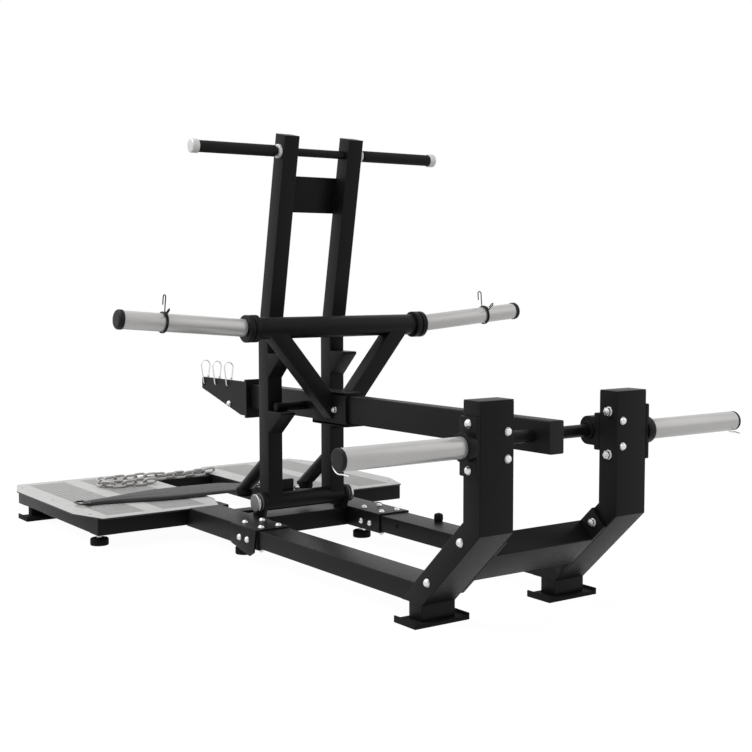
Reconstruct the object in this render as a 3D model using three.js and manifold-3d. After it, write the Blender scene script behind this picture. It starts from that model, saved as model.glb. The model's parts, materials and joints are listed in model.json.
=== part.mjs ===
// Belt squat machine: a free-standing frame with a platform at the front, a weighted lever
// hinged at the rear, and a swinging mast whose catches hold the lever up at rest.
// Millimetres, +Z up, +Y to the rear, +X to the user's right.

import * as THREE from 'three';
import { mergeVertices } from 'three/addons/utils/BufferGeometryUtils.js';
import Module from 'manifold-3d';

const wasm = await Module();
wasm.setup();

// Stock, fits and mesh counts
const tubeWall = 3;
const fitGap = 0.3;
const overrun = 6;
const weldTolerance = 0.001;
const roundSides = 28;
const smallSides = 16;
const roundSteps = 3;
const gapPoints = 600;

// Base rails
const railSpread = 426;
const railWidth = 100;
const railHeight = 50;
const railClearance = 50;
const railInsertion = 162;

// Rear uprights: a tube that stands, then bends forward and down to its foot.
// The rear face of the standing part is Y = 0.
const uprightWidth = 100;
const uprightDepth = 60;
const uprightTop = 550;
const uprightBend = 249;
const legRun = 210;
const stubHalfWidth = 51;
const stubLength = 52;
const stubSetback = 1.5;
const capThickness = 3;
const capPlugDepth = 14;

// Rubber tray feet under the uprights and the platform's front corners
const trayWidth = 165;
const trayLength = 86;
const trayFloor = 10;
const trayLip = 7;
const trayLipWidth = 8;
const trayOverhang = 16;

// Rear cross member between the slanted legs
const memberWidth = 110;
const memberDepth = 60;
const memberCentre = 152;
const memberFlangeLength = 218;
const memberFlangeThickness = 9;

// Front rail sleeves, which the base rails slide into
const sleeveWall = 4.7;
const railSleeveLength = 449.5;
const cheekThickness = 5;
const cheekDrop = 22;
const cheekHeel = 9;
const cheekLean = 15;
const cheekLength = 149;
const cheekTipShare = 0.26;

// Cross beams between the sleeves
const pivotBeamSetback = 275.5;
const pivotBeamLength = 100;
const stopBeamSetback = 139.5;
const stopBeamLength = 52;

// Mast pivot
const mastPivotSetback = 265.5;
const mastPivotZ = 146;
const mastShaftRadius = 12.5;
const mastHubRadius = 27;
const mastHubHalf = 140;
const hubEndGap = 1;
const hubTabInner = 20;
const hubTabTop = 205;
const hubTabReach = 34;
const hubTabThickness = 12;
const lugThickness = 12;
const lugRadius = 30;
const lugFoot = 70;
const endDiscRadius = 28;
const endDiscThickness = 16;
const endDiscRound = 6;

// Mast tubes
const mastSpread = 223.5;
const mastTube = 50;
const mastDepth = 57;
const mastBend = 645;
const mastTop = 1236;
const mastLean = 0.19;
const upperCatchTop = 600;
const upperCatchReach = 79;
const upperCatchDrop = 74;
const lowerCatchTop = 426.7;
const lowerCatchReach = 85;
const lowerCatchDrop = 70;
const stopLegTop = 261;
const stopLegSlope = 0.72;
const stopLegRadius = 21;
const bumperSetback = 170;
const bumperRadius = 26;
const bumperHeight = 28;
const bumperRound = 12;
const bumperBottom = 138;
const crossPlateTop = 1127;
const crossPlateHeight = 106;
const crossPlateThickness = 5;

// Handle bar through the top of the mast
const handleHeight = 1193;
const handleRadius = 12;
const gripRadius = 17.2;
const gripInner = 154;
const gripLength = 249;
const collarRadius = 20.5;
const collarThickness = 10;
const knobRadius = 20;
const knobLength = 22;
const knobRound = 5;

// Lever and its pivot
const leverPivotY = -100;
const leverPivotZ = 450;
const leverTilt = 0.0075;
const leverShaftRadius = 15.5;
const leverShaftPast = 4;
const beamWidth = 44;
const beamHeight = 80;
const beamTail = 62;
const beamReach = 1355;
const plugThickness = 3;
const plugDepth = 16;
const flangeHalfWidth = 40;
const flangeThickness = 12;
const flangeRise = 56;
const flangeDrop = 69;

// Hook plate and its three carabiners
const hookThickness = 10;
const hookLength = 366;
const hookTop = 43.5;
const hookTipHeight = 39;
const hookHeel = 90;
const hookHoleRadius = 6;
const hookHoleDrop = 23;
const hookHoleSetback = 19;
const hookHolePitch = 84;
const hookBoltRadius = 6;
const hookBoltSetback = 169;
const hookBoltHeight = -37;
const carabinerCount = 3;
const wireRadius = 2.5;
const carabinerFoot = 8.5;
const carabinerHead = 16.5;
const carabinerRise = 66;
const wireSides = 6;
const footSteps = 6;
const headSteps = 12;

// Bearing blocks on the front faces of the uprights
const blockWidth = 38;
const blockCentre = 182;
const blockHeight = 91;
const blockNoseRadius = 37;
const blockNoseBack = 9;

// Saddle, V legs and cross tube
const saddleWall = 9.7;
const saddlePastBar = 233;
const saddleLength = 180;
const legTube = 50;
const crossTubeRadius = 31;
const crossTubeWall = 4;
const crossTubePastBar = 143;
const crossTubeRise = 239.6;
const legTopSpread = 197;
const legTopDrop = 33;
const legSlope = 1.213;
const collarRingRadius = 39;
const collarOuter = 309;
const collarFlange = 15;
const collarGroove = 5;
const collarGrooveDepth = 4.5;
const collarRing = 15;
const collarBore = 16;

// Load sleeves, canted up towards their ends, and the storage horns
const barRadius = 25;
const barWall = 4;
const sleeveLength = 370;
const sleeveRootRise = 2.5;
const sleeveCant = 0.084;
const sleeveRoot = 12;
const endCapLength = 16;
const endCapRound = 6;
const endCapPlug = 14;
const hornEnd = 613;
const hornSetback = 27.5;
const hornPlateThickness = 10;
const hornPlateHeight = 135;
const hornRingRadius = 33.5;
const hornRingLength = 21;

// Bar that rests in the lower catches
const restBarRadius = 13;
const restBarHalf = 128;
const restBarBack = 56;

// Spring clips on the load sleeves
const clipPlace = 251;
const clipWire = 1.7;
const clipPitch = 4;
const clipTurns = 2.12;
const clipStepsPerTurn = 16;
const clipSlack = 1.2;
const clipBend = 5;
const clipStem = 47;
const clipHookWidth = 15;
const clipHookDrop = 27;
const clipHookSteps = 5;
const clipTailOut = 24;
const clipTailRise = 17;

// Platform frame and tread plates
const frameRear = -1437.5;
const frameLength = 698;
const frameHalfWidth = 565;
const frameTube = 64;
const frameTop = 98;
const frameHeight = 51;
const slotHalfWidth = 118;
const slotFrontSetback = 128;
const treadThickness = 6;
const treadSideOverhang = 35;
const treadRearOverhang = 20.5;
const treadFrontOverhang = 44.5;
const treadSlotEdge = 116;
const outerClip = 45;
const outerClipLength = 128;
const frontClip = 45;
const frontClipLength = 128;
const innerClip = 49;
const innerClipLength = 124;

// Levelling feet
const levelRadius = 28.5;
const levelHeight = 22;
const levelRound = 3;
const levelStemRadius = 6;
const levelStemPast = 12;
const railFootSetback = 276;
const platformFootInset = 44;
const platformFootSetback = 94.5;
const frontTrayInset = 69.5;
const frontTraySetback = 72.5;
const frontStubWidth = 94;
const frontStubLength = 34;

// Belt and chain
const beltSideGap = 81;
const beltLength = 614;
const beltSetback = 237;
const beltWidth = 158;
const beltEndWidth = 36;
const beltNearTaper = 320;
const beltFarTaper = 110;
const beltSteps = 20;
const beltThickness = 18;
const ringWire = 3;
const ringWidth = 60;
const ringLength = 32;
const ringInset = 9;
const ringCorner = 7;
const linkWire = 4.5;
const linkInnerLength = 38;
const linkInnerWidth = 16;
const linkArcSteps = 5;
const linkOverlap = 0.8;
const linkRoll = 45;
const chainSetback = 7.5;
const chainLeft = -128;
const chainBend = 280;
const chainBendRadius = 52;
const chainReturn = 150;

// Colours, as sRGB numbers
const powderBlack = new THREE.MeshStandardMaterial({ color: 0x26272a, roughness: 0.5, metalness: 0.3 });
const satinSteel = new THREE.MeshStandardMaterial({ color: 0xbdbcb8, roughness: 0.3, metalness: 0.9 });
const chrome = new THREE.MeshStandardMaterial({ color: 0xd8d8d8, roughness: 0.15, metalness: 1 });
const treadSteel = new THREE.MeshStandardMaterial({ color: 0xc4c5c2, roughness: 0.45, metalness: 0.6 });
const blackRubber = new THREE.MeshStandardMaterial({ color: 0x1b1b1c, roughness: 0.85, metalness: 0 });
const blackPlastic = new THREE.MeshStandardMaterial({ color: 0x202022, roughness: 0.6, metalness: 0 });
const beltWeb = new THREE.MeshStandardMaterial({ color: 0x4a4b4d, roughness: 0.9, metalness: 0 });

// Values that follow from the sizes above
const railTop = railClearance + railHeight;
const railX = railSpread / 2;
const uprightInner = railX - uprightWidth / 2;
const uprightOuter = railX + uprightWidth / 2;
const sleeveRear = frameRear + railSleeveLength;
const railFront = sleeveRear - railInsertion;
const pivotBeamRear = frameRear + pivotBeamSetback;
const stopBeamRear = frameRear + stopBeamSetback;
const clusterFootY = frameRear + railFootSetback;
const mastPivotY = frameRear + mastPivotSetback;
const mastX = mastSpread / 2;
const mastInner = mastX - mastTube / 2;
const mastOuter = mastX + mastTube / 2;
const mastRear = mastPivotY + mastTube / 2;
const mastFront = mastRear - mastDepth;
const beamHalf = beamWidth / 2;
const sleeveSkin = fitGap + sleeveWall;
const sleeveTop = railTop + sleeveSkin;
const sleeveBottom = railClearance - sleeveSkin;
const sleeveInner = railX - railWidth / 2 - sleeveSkin;
const sleeveOuter = railX + railWidth / 2 + sleeveSkin;
const frameFront = frameRear - frameLength;
const slotFront = frameFront + slotFrontSetback;
const treadTop = frameTop + fitGap + treadThickness;
const treadSide = frameHalfWidth + treadSideOverhang;
const treadRear = frameRear + treadRearOverhang;
const treadFront = frameFront - treadFrontOverhang;
const chainRow = slotFront - chainSetback;
const legDirection = new THREE.Vector2(-legRun, railClearance - uprightBend).normalize();
const legNormal = new THREE.Vector2(legDirection.y, -legDirection.x);
const leanLength = Math.hypot(1, mastLean);

// Solids

function toSolid(geometry) {
  const plain = geometry.clone();
  plain.deleteAttribute('normal');
  plain.deleteAttribute('uv');
  const merged = mergeVertices(plain, weldTolerance);
  return new wasm.Manifold(new wasm.Mesh({
    numProp: 3,
    vertProperties: new Float32Array(merged.attributes.position.array),
    triVerts: new Uint32Array(merged.index.array),
  }));
}

function toGeometry(solid) {
  const mesh = solid.getMesh();
  const geometry = new THREE.BufferGeometry();
  geometry.setAttribute('position', new THREE.BufferAttribute(mesh.vertProperties, 3));
  geometry.setIndex(new THREE.BufferAttribute(mesh.triVerts, 1));
  geometry.computeVertexNormals();
  return geometry;
}

function block([x0, x1], [y0, y1], [z0, z1]) {
  const box = new THREE.BoxGeometry(x1 - x0, y1 - y0, z1 - z0);
  box.translate((x0 + x1) / 2, (y0 + y1) / 2, (z0 + z1) / 2);
  return toSolid(box);
}

function extrudeAlong(points, from, to, basis) {
  const shape = new THREE.Shape(points.map((point) => new THREE.Vector2(point[0], point[1])));
  const prism = new THREE.ExtrudeGeometry(shape, { depth: to - from, bevelEnabled: false });
  prism.translate(0, 0, from);
  prism.applyMatrix4(basis);
  return toSolid(prism);
}

const axisX = new THREE.Vector3(1, 0, 0);
const axisY = new THREE.Vector3(0, 1, 0);
const axisZ = new THREE.Vector3(0, 0, 1);
const alongX = new THREE.Matrix4().makeBasis(axisY, axisZ, axisX);
const alongY = new THREE.Matrix4().makeBasis(axisZ, axisX, axisY);
const alongZ = new THREE.Matrix4();

// Outline in (y, z), carried along X
function prismX(points, from, to) {
  return extrudeAlong(points, from, to, alongX);
}

// Outline in (x, z), carried along Y
function prismY(points, from, to) {
  return extrudeAlong(points.map((point) => [point[1], point[0]]), from, to, alongY);
}

// Outline in (x, y), carried along Z
function prismZ(points, from, to) {
  return extrudeAlong(points, from, to, alongZ);
}

// A turned piece: its outline is (radius, height), and the height runs along +X, +Y or +Z
function turned(points, sides, axis) {
  const outline = points.map((point) => new THREE.Vector2(point[0], point[1]));
  const lathe = new THREE.LatheGeometry(outline, sides);
  if (axis === 'x') {
    lathe.rotateZ(-Math.PI / 2);
  }
  if (axis === 'z') {
    lathe.rotateX(Math.PI / 2);
  }
  return toSolid(lathe);
}

function rod(radius, from, to, axis, sides = roundSides) {
  return turned([[0, from], [radius, from], [radius, to], [0, to]], sides, axis);
}

function pipe(radius, bore, from, to, axis, sides = roundSides) {
  const section = [[bore, from], [radius, from], [radius, to], [bore, to], [bore, from]];
  return turned(section, sides, axis);
}

// A rod whose far end is rounded over
function roundedRod(radius, from, to, round, axis, sides = roundSides) {
  const points = [[0, from], [radius, from]];
  for (let step = 0; step <= roundSteps; step += 1) {
    const angle = (step / roundSteps) * (Math.PI / 2);
    points.push([radius - round + round * Math.cos(angle), to - round + round * Math.sin(angle)]);
  }
  points.push([0, to]);
  return turned(points, sides, axis);
}

// A round wire along a closed loop of points, each ring square to the loop.
// The loop lies in one plane, whose normal is given.
function closedWire(points, normal, radius, sides) {
  const positions = [];
  const indices = [];
  const count = points.length;
  for (let index = 0; index < count; index += 1) {
    const before = points[(index + count - 1) % count];
    const after = points[(index + 1) % count];
    const ahead = after.clone().sub(before).normalize();
    const outward = ahead.clone().cross(normal);
    for (let side = 0; side < sides; side += 1) {
      const angle = (2 * Math.PI * side) / sides;
      const point = points[index].clone();
      point.addScaledVector(outward, radius * Math.cos(angle));
      point.addScaledVector(normal, radius * Math.sin(angle));
      positions.push(point.x, point.y, point.z);
    }
  }
  for (let index = 0; index < count; index += 1) {
    const next = (index + 1) % count;
    for (let side = 0; side < sides; side += 1) {
      const turn = (side + 1) % sides;
      const a = index * sides + side;
      const b = index * sides + turn;
      const c = next * sides + side;
      const d = next * sides + turn;
      indices.push(a, c, b, b, c, d);
    }
  }
  const wire = new THREE.BufferGeometry();
  wire.setAttribute('position', new THREE.Float32BufferAttribute(positions, 3));
  wire.setIndex(indices);
  return toSolid(wire);
}

// A round wire along an open list of points
function openWire(points, radius, sides) {
  const section = new THREE.Shape();
  for (let side = 0; side < sides; side += 1) {
    const angle = (2 * Math.PI * side) / sides;
    const x = radius * Math.cos(angle);
    const y = radius * Math.sin(angle);
    if (side === 0) {
      section.moveTo(x, y);
    } else {
      section.lineTo(x, y);
    }
  }
  const path = new THREE.CurvePath();
  for (let index = 1; index < points.length; index += 1) {
    path.add(new THREE.LineCurve3(points[index - 1], points[index]));
  }
  const steps = 2 * points.length;
  const extrudePath = new THREE.CatmullRomCurve3(path.getSpacedPoints(steps));
  return toSolid(new THREE.ExtrudeGeometry(section, { extrudePath, steps, bevelEnabled: false }));
}

// The least gap of a wound wire to itself, between points of its line that lie more than
// a given distance apart along it
function leastGap(line, radius, apart) {
  const points = new THREE.CatmullRomCurve3(line).getSpacedPoints(gapPoints);
  let least = Infinity;
  for (let i = 0; i < points.length; i += 1) {
    let along = 0;
    for (let j = i + 1; j < points.length; j += 1) {
      along += points[j].distanceTo(points[j - 1]);
      if (along > apart) {
        least = Math.min(least, points[i].distanceTo(points[j]) - 2 * radius);
      }
    }
  }
  return least;
}

// Scene graph

const machine = new THREE.Group();
const rearReach = hornRingRadius - hornSetback;
machine.position.y = -(treadFront + rearReach) / 2;

const lever = new THREE.Group();
lever.position.set(0, leverPivotY, leverPivotZ);
lever.rotation.x = leverTilt;
machine.add(lever);

function addPiece(parent, name, solid, material) {
  const mesh = new THREE.Mesh(toGeometry(solid), material);
  mesh.name = name;
  parent.add(mesh);
  return mesh;
}

const sides = [{ name: 'right', sign: 1 }, { name: 'left', sign: -1 }];

function mirrored(solid, sign) {
  return sign > 0 ? solid : solid.mirror([1, 0, 0]);
}

// Adds the same piece on both sides: the solid is the one for +X
function addPair(parent, name, solid, material) {
  for (const side of sides) {
    addPiece(parent, `${name}_${side.name}`, mirrored(solid, side.sign), material);
  }
}

// Rear uprights. A line of the slanted leg lies at an offset from its rear face;
// these give where it crosses a standing line, and where it reaches a height.

function legPoint(along, offset) {
  return [
    legDirection.x * along + legNormal.x * offset,
    uprightBend + legDirection.y * along + legNormal.y * offset,
  ];
}

function legAtY(offset, y) {
  const start = legPoint(0, offset);
  const along = (y - start[0]) / legDirection.x;
  return legPoint(along, offset);
}

function legAtZ(offset, z) {
  const start = legPoint(0, offset);
  const along = (z - start[1]) / legDirection.y;
  return legPoint(along, offset);
}

function uprightOutline(inset, top, bottom) {
  const rear = -inset;
  const front = inset - uprightDepth;
  return [
    [rear, top],
    [front, top],
    legAtY(uprightDepth - inset, front),
    legAtZ(uprightDepth - inset, bottom),
    legAtZ(inset, bottom),
    legAtY(inset, rear),
  ];
}

const uprightSpan = [uprightInner, uprightOuter];
const uprightHollow = prismX(
  uprightOutline(tubeWall, uprightTop + overrun, railClearance - overrun),
  uprightInner + tubeWall,
  uprightOuter - tubeWall,
);
const stubRear = legAtZ(0, railClearance)[0] - stubSetback;
const footStub = block(
  [railX - stubHalfWidth, railX + stubHalfWidth],
  [stubRear - stubLength, stubRear],
  [trayFloor + fitGap, railClearance + tubeWall],
);
const upright = prismX(uprightOutline(0, uprightTop, railClearance), ...uprightSpan)
  .subtract(uprightHollow)
  .add(footStub);
addPair(machine, 'rear_upright', upright, powderBlack);

const plugSide = tubeWall + fitGap;
const capBottom = uprightTop + fitGap;
const uprightCap = block(uprightSpan, [-uprightDepth, 0], [capBottom, capBottom + capThickness])
  .add(block(
    [uprightInner + plugSide, uprightOuter - plugSide],
    [plugSide - uprightDepth, -plugSide],
    [uprightTop - capPlugDepth, uprightTop + capThickness],
  ));
addPair(machine, 'upright_cap', uprightCap, blackPlastic);

// Rubber tray feet

function trayFoot(x, y) {
  const spanX = [x - trayWidth / 2, x + trayWidth / 2];
  const spanY = [y - trayLength / 2, y + trayLength / 2];
  const well = block(
    [spanX[0] + trayLipWidth, spanX[1] - trayLipWidth],
    [spanY[0] - overrun, spanY[1] + overrun],
    [trayFloor, trayFloor + trayLip + overrun],
  );
  return block(spanX, spanY, [0, trayFloor + trayLip]).subtract(well);
}

addPair(machine, 'rear_foot', trayFoot(railX, stubRear + trayOverhang - trayLength / 2), blackRubber);

// Rear cross member: a tube laid flat in the slope of the legs, with a flange on each end

const memberHalf = uprightInner - fitGap;

function memberOutline(inset, span) {
  const start = memberCentre - span / 2;
  const end = memberCentre + span / 2;
  return [
    legPoint(start, inset),
    legPoint(start, memberDepth - inset),
    legPoint(end, memberDepth - inset),
    legPoint(end, inset),
  ];
}

function memberFlange(inner, outer) {
  const start = memberCentre - memberFlangeLength / 2;
  const end = memberCentre + memberFlangeLength / 2;
  const outline = [
    legPoint(start, 0),
    legPoint(start, uprightDepth),
    legPoint(end, uprightDepth),
    legPoint(end, 0),
  ];
  return prismX(outline, inner, outer);
}

const memberBody = prismX(memberOutline(0, memberWidth), -memberHalf, memberHalf)
  .add(memberFlange(memberHalf - memberFlangeThickness, memberHalf))
  .add(memberFlange(-memberHalf, memberFlangeThickness - memberHalf))
  .subtract(prismX(
    memberOutline(tubeWall, memberWidth - 2 * tubeWall),
    -memberHalf - overrun,
    memberHalf + overrun,
  ));
addPiece(machine, 'rear_cross_member', memberBody, powderBlack);

// Base rails, mitred against the slanted legs

function railOutline(inset, front, past) {
  const bottom = railClearance + inset;
  const top = railTop - inset;
  return [
    [front, bottom],
    [legAtZ(uprightDepth + fitGap - past, bottom)[0], bottom],
    [legAtZ(uprightDepth + fitGap - past, top)[0], top],
    [front, top],
  ];
}

const railSolid = prismX(railOutline(0, railFront, 0), railX - railWidth / 2, railX + railWidth / 2)
  .subtract(prismX(
    railOutline(tubeWall, railFront - overrun, overrun),
    railX - railWidth / 2 + tubeWall,
    railX + railWidth / 2 - tubeWall,
  ));
addPair(machine, 'base_rail', railSolid, powderBlack);

// Front rail sleeves, notched under the tread plate's rear edge. Each has a cheek that drops
// below its outer side at the joint.

const sleeveFront = frameRear + fitGap;
const cheekFront = sleeveRear - cheekLength;
const cheekTip = sleeveRear - cheekTipShare * cheekLength;
const cheek = prismX([
  [sleeveRear, sleeveTop],
  [sleeveRear - cheekLean, sleeveBottom - cheekHeel],
  [cheekTip, sleeveBottom - cheekDrop],
  [cheekFront, sleeveBottom],
  [cheekFront, sleeveTop],
], sleeveOuter - fitGap, sleeveOuter + cheekThickness);
const stemBore = rod(
  levelStemRadius + fitGap,
  sleeveBottom - overrun,
  sleeveBottom + 2 * sleeveWall,
  'z',
  smallSides,
).translate([railX, clusterFootY, 0]);
const railSleeve = block([sleeveInner, sleeveOuter], [sleeveFront, sleeveRear], [sleeveBottom, sleeveTop])
  .subtract(block(
    [sleeveInner + sleeveWall, sleeveOuter - sleeveWall],
    [sleeveFront - overrun, sleeveRear + overrun],
    [sleeveBottom + sleeveWall, sleeveTop - sleeveWall],
  ))
  .subtract(block(
    [sleeveInner - overrun, sleeveOuter + overrun],
    [sleeveFront - overrun, treadRear + fitGap],
    [frameTop, sleeveTop + overrun],
  ))
  .subtract(stemBore)
  .add(cheek);
addPair(machine, 'front_rail_sleeve', railSleeve, powderBlack);

// Cross beams between the sleeves. The pivot beam carries two lugs for the mast's shaft.

function flatTube(half, rear, length, bottom) {
  const outer = block([-half, half], [rear - length, rear], [bottom, railTop]);
  const inner = block(
    [-half - overrun, half + overrun],
    [rear - length + tubeWall, rear - tubeWall],
    [bottom + tubeWall, railTop - tubeWall],
  );
  return outer.subtract(inner);
}

const beamSpan = sleeveInner - fitGap;
const lugInner = mastHubHalf + hubEndGap;
const lugPlate = prismX([
  [mastPivotY - lugRadius, mastPivotZ],
  [mastPivotY - lugFoot / 2 - lugThickness, railTop - tubeWall],
  [mastPivotY + lugRadius - lugThickness - tubeWall, railTop - tubeWall],
  [mastPivotY + lugRadius, mastPivotZ],
], lugInner, lugInner + lugThickness);
const lugBoss = rod(lugRadius, lugInner, lugInner + lugThickness, 'x')
  .translate([0, mastPivotY, mastPivotZ]);
const lugBore = rod(mastShaftRadius + fitGap, lugInner - overrun, lugInner + lugThickness + overrun, 'x')
  .translate([0, mastPivotY, mastPivotZ]);
const lug = lugPlate.add(lugBoss).subtract(lugBore);
const pivotBeam = flatTube(beamSpan, pivotBeamRear, pivotBeamLength, sleeveBottom)
  .add(lug)
  .add(mirrored(lug, -1));
const stopBeam = flatTube(beamSpan, stopBeamRear, stopBeamLength, railClearance);
addPiece(machine, 'pivot_cross_beam', pivotBeam, powderBlack);
addPiece(machine, 'stop_cross_beam', stopBeam, powderBlack);

const discInner = lugInner + lugThickness + fitGap;
const endDisc = roundedRod(endDiscRadius, discInner, discInner + endDiscThickness, endDiscRound, 'x');
const mastShaft = rod(mastShaftRadius, -discInner - tubeWall, discInner + tubeWall, 'x')
  .add(endDisc)
  .add(mirrored(endDisc, -1))
  .translate([0, mastPivotY, mastPivotZ]);
addPiece(machine, 'mast_pivot_shaft', mastShaft, chrome);

// Pillow-block bearings on the front faces of the uprights

const blockOuter = blockCentre + blockWidth / 2;
const blockSpan = [blockOuter - blockWidth, blockOuter];
const blockBack = -uprightDepth - fitGap;
const blockNoseY = leverPivotY + blockNoseBack;
const bearing = prismX([
  [blockBack, leverPivotZ - blockHeight / 2],
  [blockBack, leverPivotZ + blockHeight / 2],
  [blockNoseY, leverPivotZ + blockNoseRadius],
  [blockNoseY, leverPivotZ - blockNoseRadius],
], ...blockSpan)
  .add(rod(blockNoseRadius, ...blockSpan, 'x').translate([0, blockNoseY, leverPivotZ]))
  .subtract(block(
    [blockSpan[0] - overrun, blockSpan[1] + overrun],
    [blockBack, 0],
    [leverPivotZ - blockHeight, leverPivotZ + blockHeight],
  ))
  .subtract(rod(leverShaftRadius + fitGap, blockSpan[0] - overrun, blockSpan[1] + overrun, 'x')
    .translate([0, leverPivotY, leverPivotZ]));
addPair(machine, 'bearing_block', bearing, powderBlack);

// Storage horns on the outer faces of the uprights

const hornY = -hornSetback;
const hornPlateInner = uprightOuter + fitGap;
const hornRoot = hornPlateInner + hornPlateThickness;
const hornBore = barRadius - barWall;
const horn = block(
  [hornPlateInner, hornRoot],
  [-uprightDepth, 0],
  [leverPivotZ - hornPlateHeight / 2, leverPivotZ + hornPlateHeight / 2],
).add(rod(hornRingRadius, hornPlateInner + tubeWall, hornRoot + hornRingLength, 'x')
  .translate([0, hornY, leverPivotZ]))
  .add(rod(barRadius, hornRoot, hornEnd, 'x').translate([0, hornY, leverPivotZ]))
  .subtract(rod(hornBore, hornRoot, hornEnd + overrun, 'x').translate([0, hornY, leverPivotZ]));
addPair(machine, 'storage_horn', horn, satinSteel);

function endCap(from) {
  return roundedRod(barRadius, from, from + endCapLength, endCapRound, 'x')
    .add(rod(barRadius - barWall - fitGap, from - endCapPlug, from + endCapRound, 'x'));
}

addPair(machine, 'horn_cap', endCap(hornEnd + fitGap).translate([0, hornY, leverPivotZ]), blackPlastic);

// Platform frame: channels open underneath, round two bays and a slot for the lever

const frameBottom = frameTop - frameHeight;

function frameOutline(inset) {
  const side = frameHalfWidth - inset;
  const slot = slotHalfWidth + inset;
  return [
    [side, frameFront + inset],
    [side, frameRear - inset],
    [slot, frameRear - inset],
    [slot, slotFront - inset],
    [-slot, slotFront - inset],
    [-slot, frameRear - inset],
    [-side, frameRear - inset],
    [-side, frameFront + inset],
  ];
}

const bayFrontY = frameFront + frameTube;
const bayRearY = frameRear - frameTube;
const baySpan = [slotHalfWidth + frameTube, frameHalfWidth - frameTube];
const bay = block(baySpan, [bayFrontY, bayRearY], [frameBottom - overrun, frameTop + overrun]);
const channelTop = frameTop - tubeWall;
const bayRing = block(
  [baySpan[0] - tubeWall, baySpan[1] + tubeWall],
  [bayFrontY - tubeWall, bayRearY + tubeWall],
  [frameBottom - 2 * overrun, frameTop + overrun],
);
const channel = prismZ(frameOutline(tubeWall), frameBottom - overrun, channelTop)
  .subtract(bayRing)
  .subtract(mirrored(bayRing, -1));
const platformFrame = prismZ(frameOutline(0), frameBottom, frameTop)
  .subtract(bay)
  .subtract(mirrored(bay, -1))
  .subtract(channel);
addPiece(machine, 'platform_frame', platformFrame, powderBlack);

// Tread plates

const treadSpan = [frameTop + fitGap, treadTop];
const treadPlate = prismZ([
  [treadSlotEdge + innerClip, treadFront],
  [treadSlotEdge, treadFront + innerClipLength],
  [treadSlotEdge, treadRear - innerClipLength],
  [treadSlotEdge + innerClip, treadRear],
  [treadSide - outerClip, treadRear],
  [treadSide, treadRear - outerClipLength],
  [treadSide, treadFront + frontClipLength],
  [treadSide - frontClip, treadFront],
], ...treadSpan);
addPair(machine, 'tread_plate', treadPlate, treadSteel);

// Front feet: the rear's rubber trays, with a stub up to the platform's front channel

const frontTrayX = frameHalfWidth - frontTrayInset;
const frontTrayY = frameFront + frontTraySetback;
const frontStubRear = bayFrontY - fitGap;
const frontStub = block(
  [frontTrayX - frontStubWidth / 2, frontTrayX + frontStubWidth / 2],
  [frontStubRear - frontStubLength, frontStubRear],
  [trayFloor - tubeWall, frameBottom - fitGap],
);
addPair(machine, 'front_foot', trayFoot(frontTrayX, frontTrayY).add(frontStub), blackRubber);

// Levelling feet: a rubber pad on a threaded stem

function levellingFoot(x, y, underside) {
  const pad = roundedRod(levelRadius, 0, levelHeight, levelRound, 'z');
  const stem = rod(levelStemRadius, levelHeight - levelRound, underside - fitGap, 'z', smallSides);
  return pad.add(stem).translate([x, y, 0]);
}

const clusterFoot = levellingFoot(railX, clusterFootY, sleeveBottom + sleeveWall + levelStemPast);
const platformFoot = levellingFoot(
  frameHalfWidth - platformFootInset,
  frameRear - platformFootSetback,
  channelTop,
);
addPair(machine, 'rail_levelling_foot', clusterFoot, blackRubber);
addPair(machine, 'platform_levelling_foot', platformFoot, blackRubber);

// Mast. A point of the leaning part is given by its height and its depth from the rear face.

function leanPoint(height, depth) {
  return [mastRear + mastLean * (height - mastBend) - depth * leanLength, height];
}

function mastOutline(inset, bottom, past) {
  const rear = mastRear - inset;
  const front = mastFront + inset;
  const frontBend = mastBend + (mastDepth * (leanLength - 1)) / mastLean;
  const topRear = leanPoint(mastTop + past, inset);
  const topFront = leanPoint(mastTop + past + mastDepth * mastLean, mastDepth - inset);
  return [
    [front, bottom],
    [rear, bottom],
    [rear, mastBend + inset * mastLean / 2],
    topRear,
    topFront,
    [front, frontBend - inset * mastLean / 2],
  ];
}

const mastSpan = [mastInner, mastOuter];

function catchWedge(top, reach, drop) {
  return prismX([
    [mastRear - tubeWall, top],
    [mastRear - tubeWall, top - drop],
    [mastRear, top - drop],
    [mastRear + reach, top],
  ], ...mastSpan);
}

// Stop leg: a round bar that runs forward and down from the mast to its rubber bumper

const bumperTop = bumperBottom + bumperHeight;
const bumperY = mastPivotY - bumperSetback;
const stopLegAngle = Math.atan(stopLegSlope);
const stopLegReach = (mastFront - bumperY + 2 * bumperRadius) / Math.cos(stopLegAngle);
const stopLeg = rod(stopLegRadius, -stopLegReach, stopLegRadius, 'y')
  .rotate([(stopLegAngle * 180) / Math.PI, 0, 0])
  .translate([mastX, mastFront, stopLegTop])
  .subtract(block(
    [mastInner, mastOuter],
    [mastFront + tubeWall, mastRear],
    [mastPivotZ, stopLegTop + 2 * mastTube],
  ))
  .subtract(block(
    [mastInner, mastOuter],
    [bumperY - stopLegReach, mastRear],
    [bumperBottom - stopLegReach, bumperTop + fitGap],
  ))
  .subtract(block(
    [mastInner, mastOuter],
    [bumperY - stopLegReach, bumperY - bumperRadius],
    [bumperBottom, stopLegTop],
  ));
const hubClear = rod(mastHubRadius + fitGap, mastInner - overrun, mastOuter + overrun, 'x')
  .translate([0, mastPivotY, mastPivotZ]);
const handleY = leanPoint(handleHeight, mastTube / 2)[0];
const handleClear = rod(handleRadius + fitGap, mastInner - overrun, mastOuter + overrun, 'x')
  .translate([0, handleY, handleHeight]);
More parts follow.
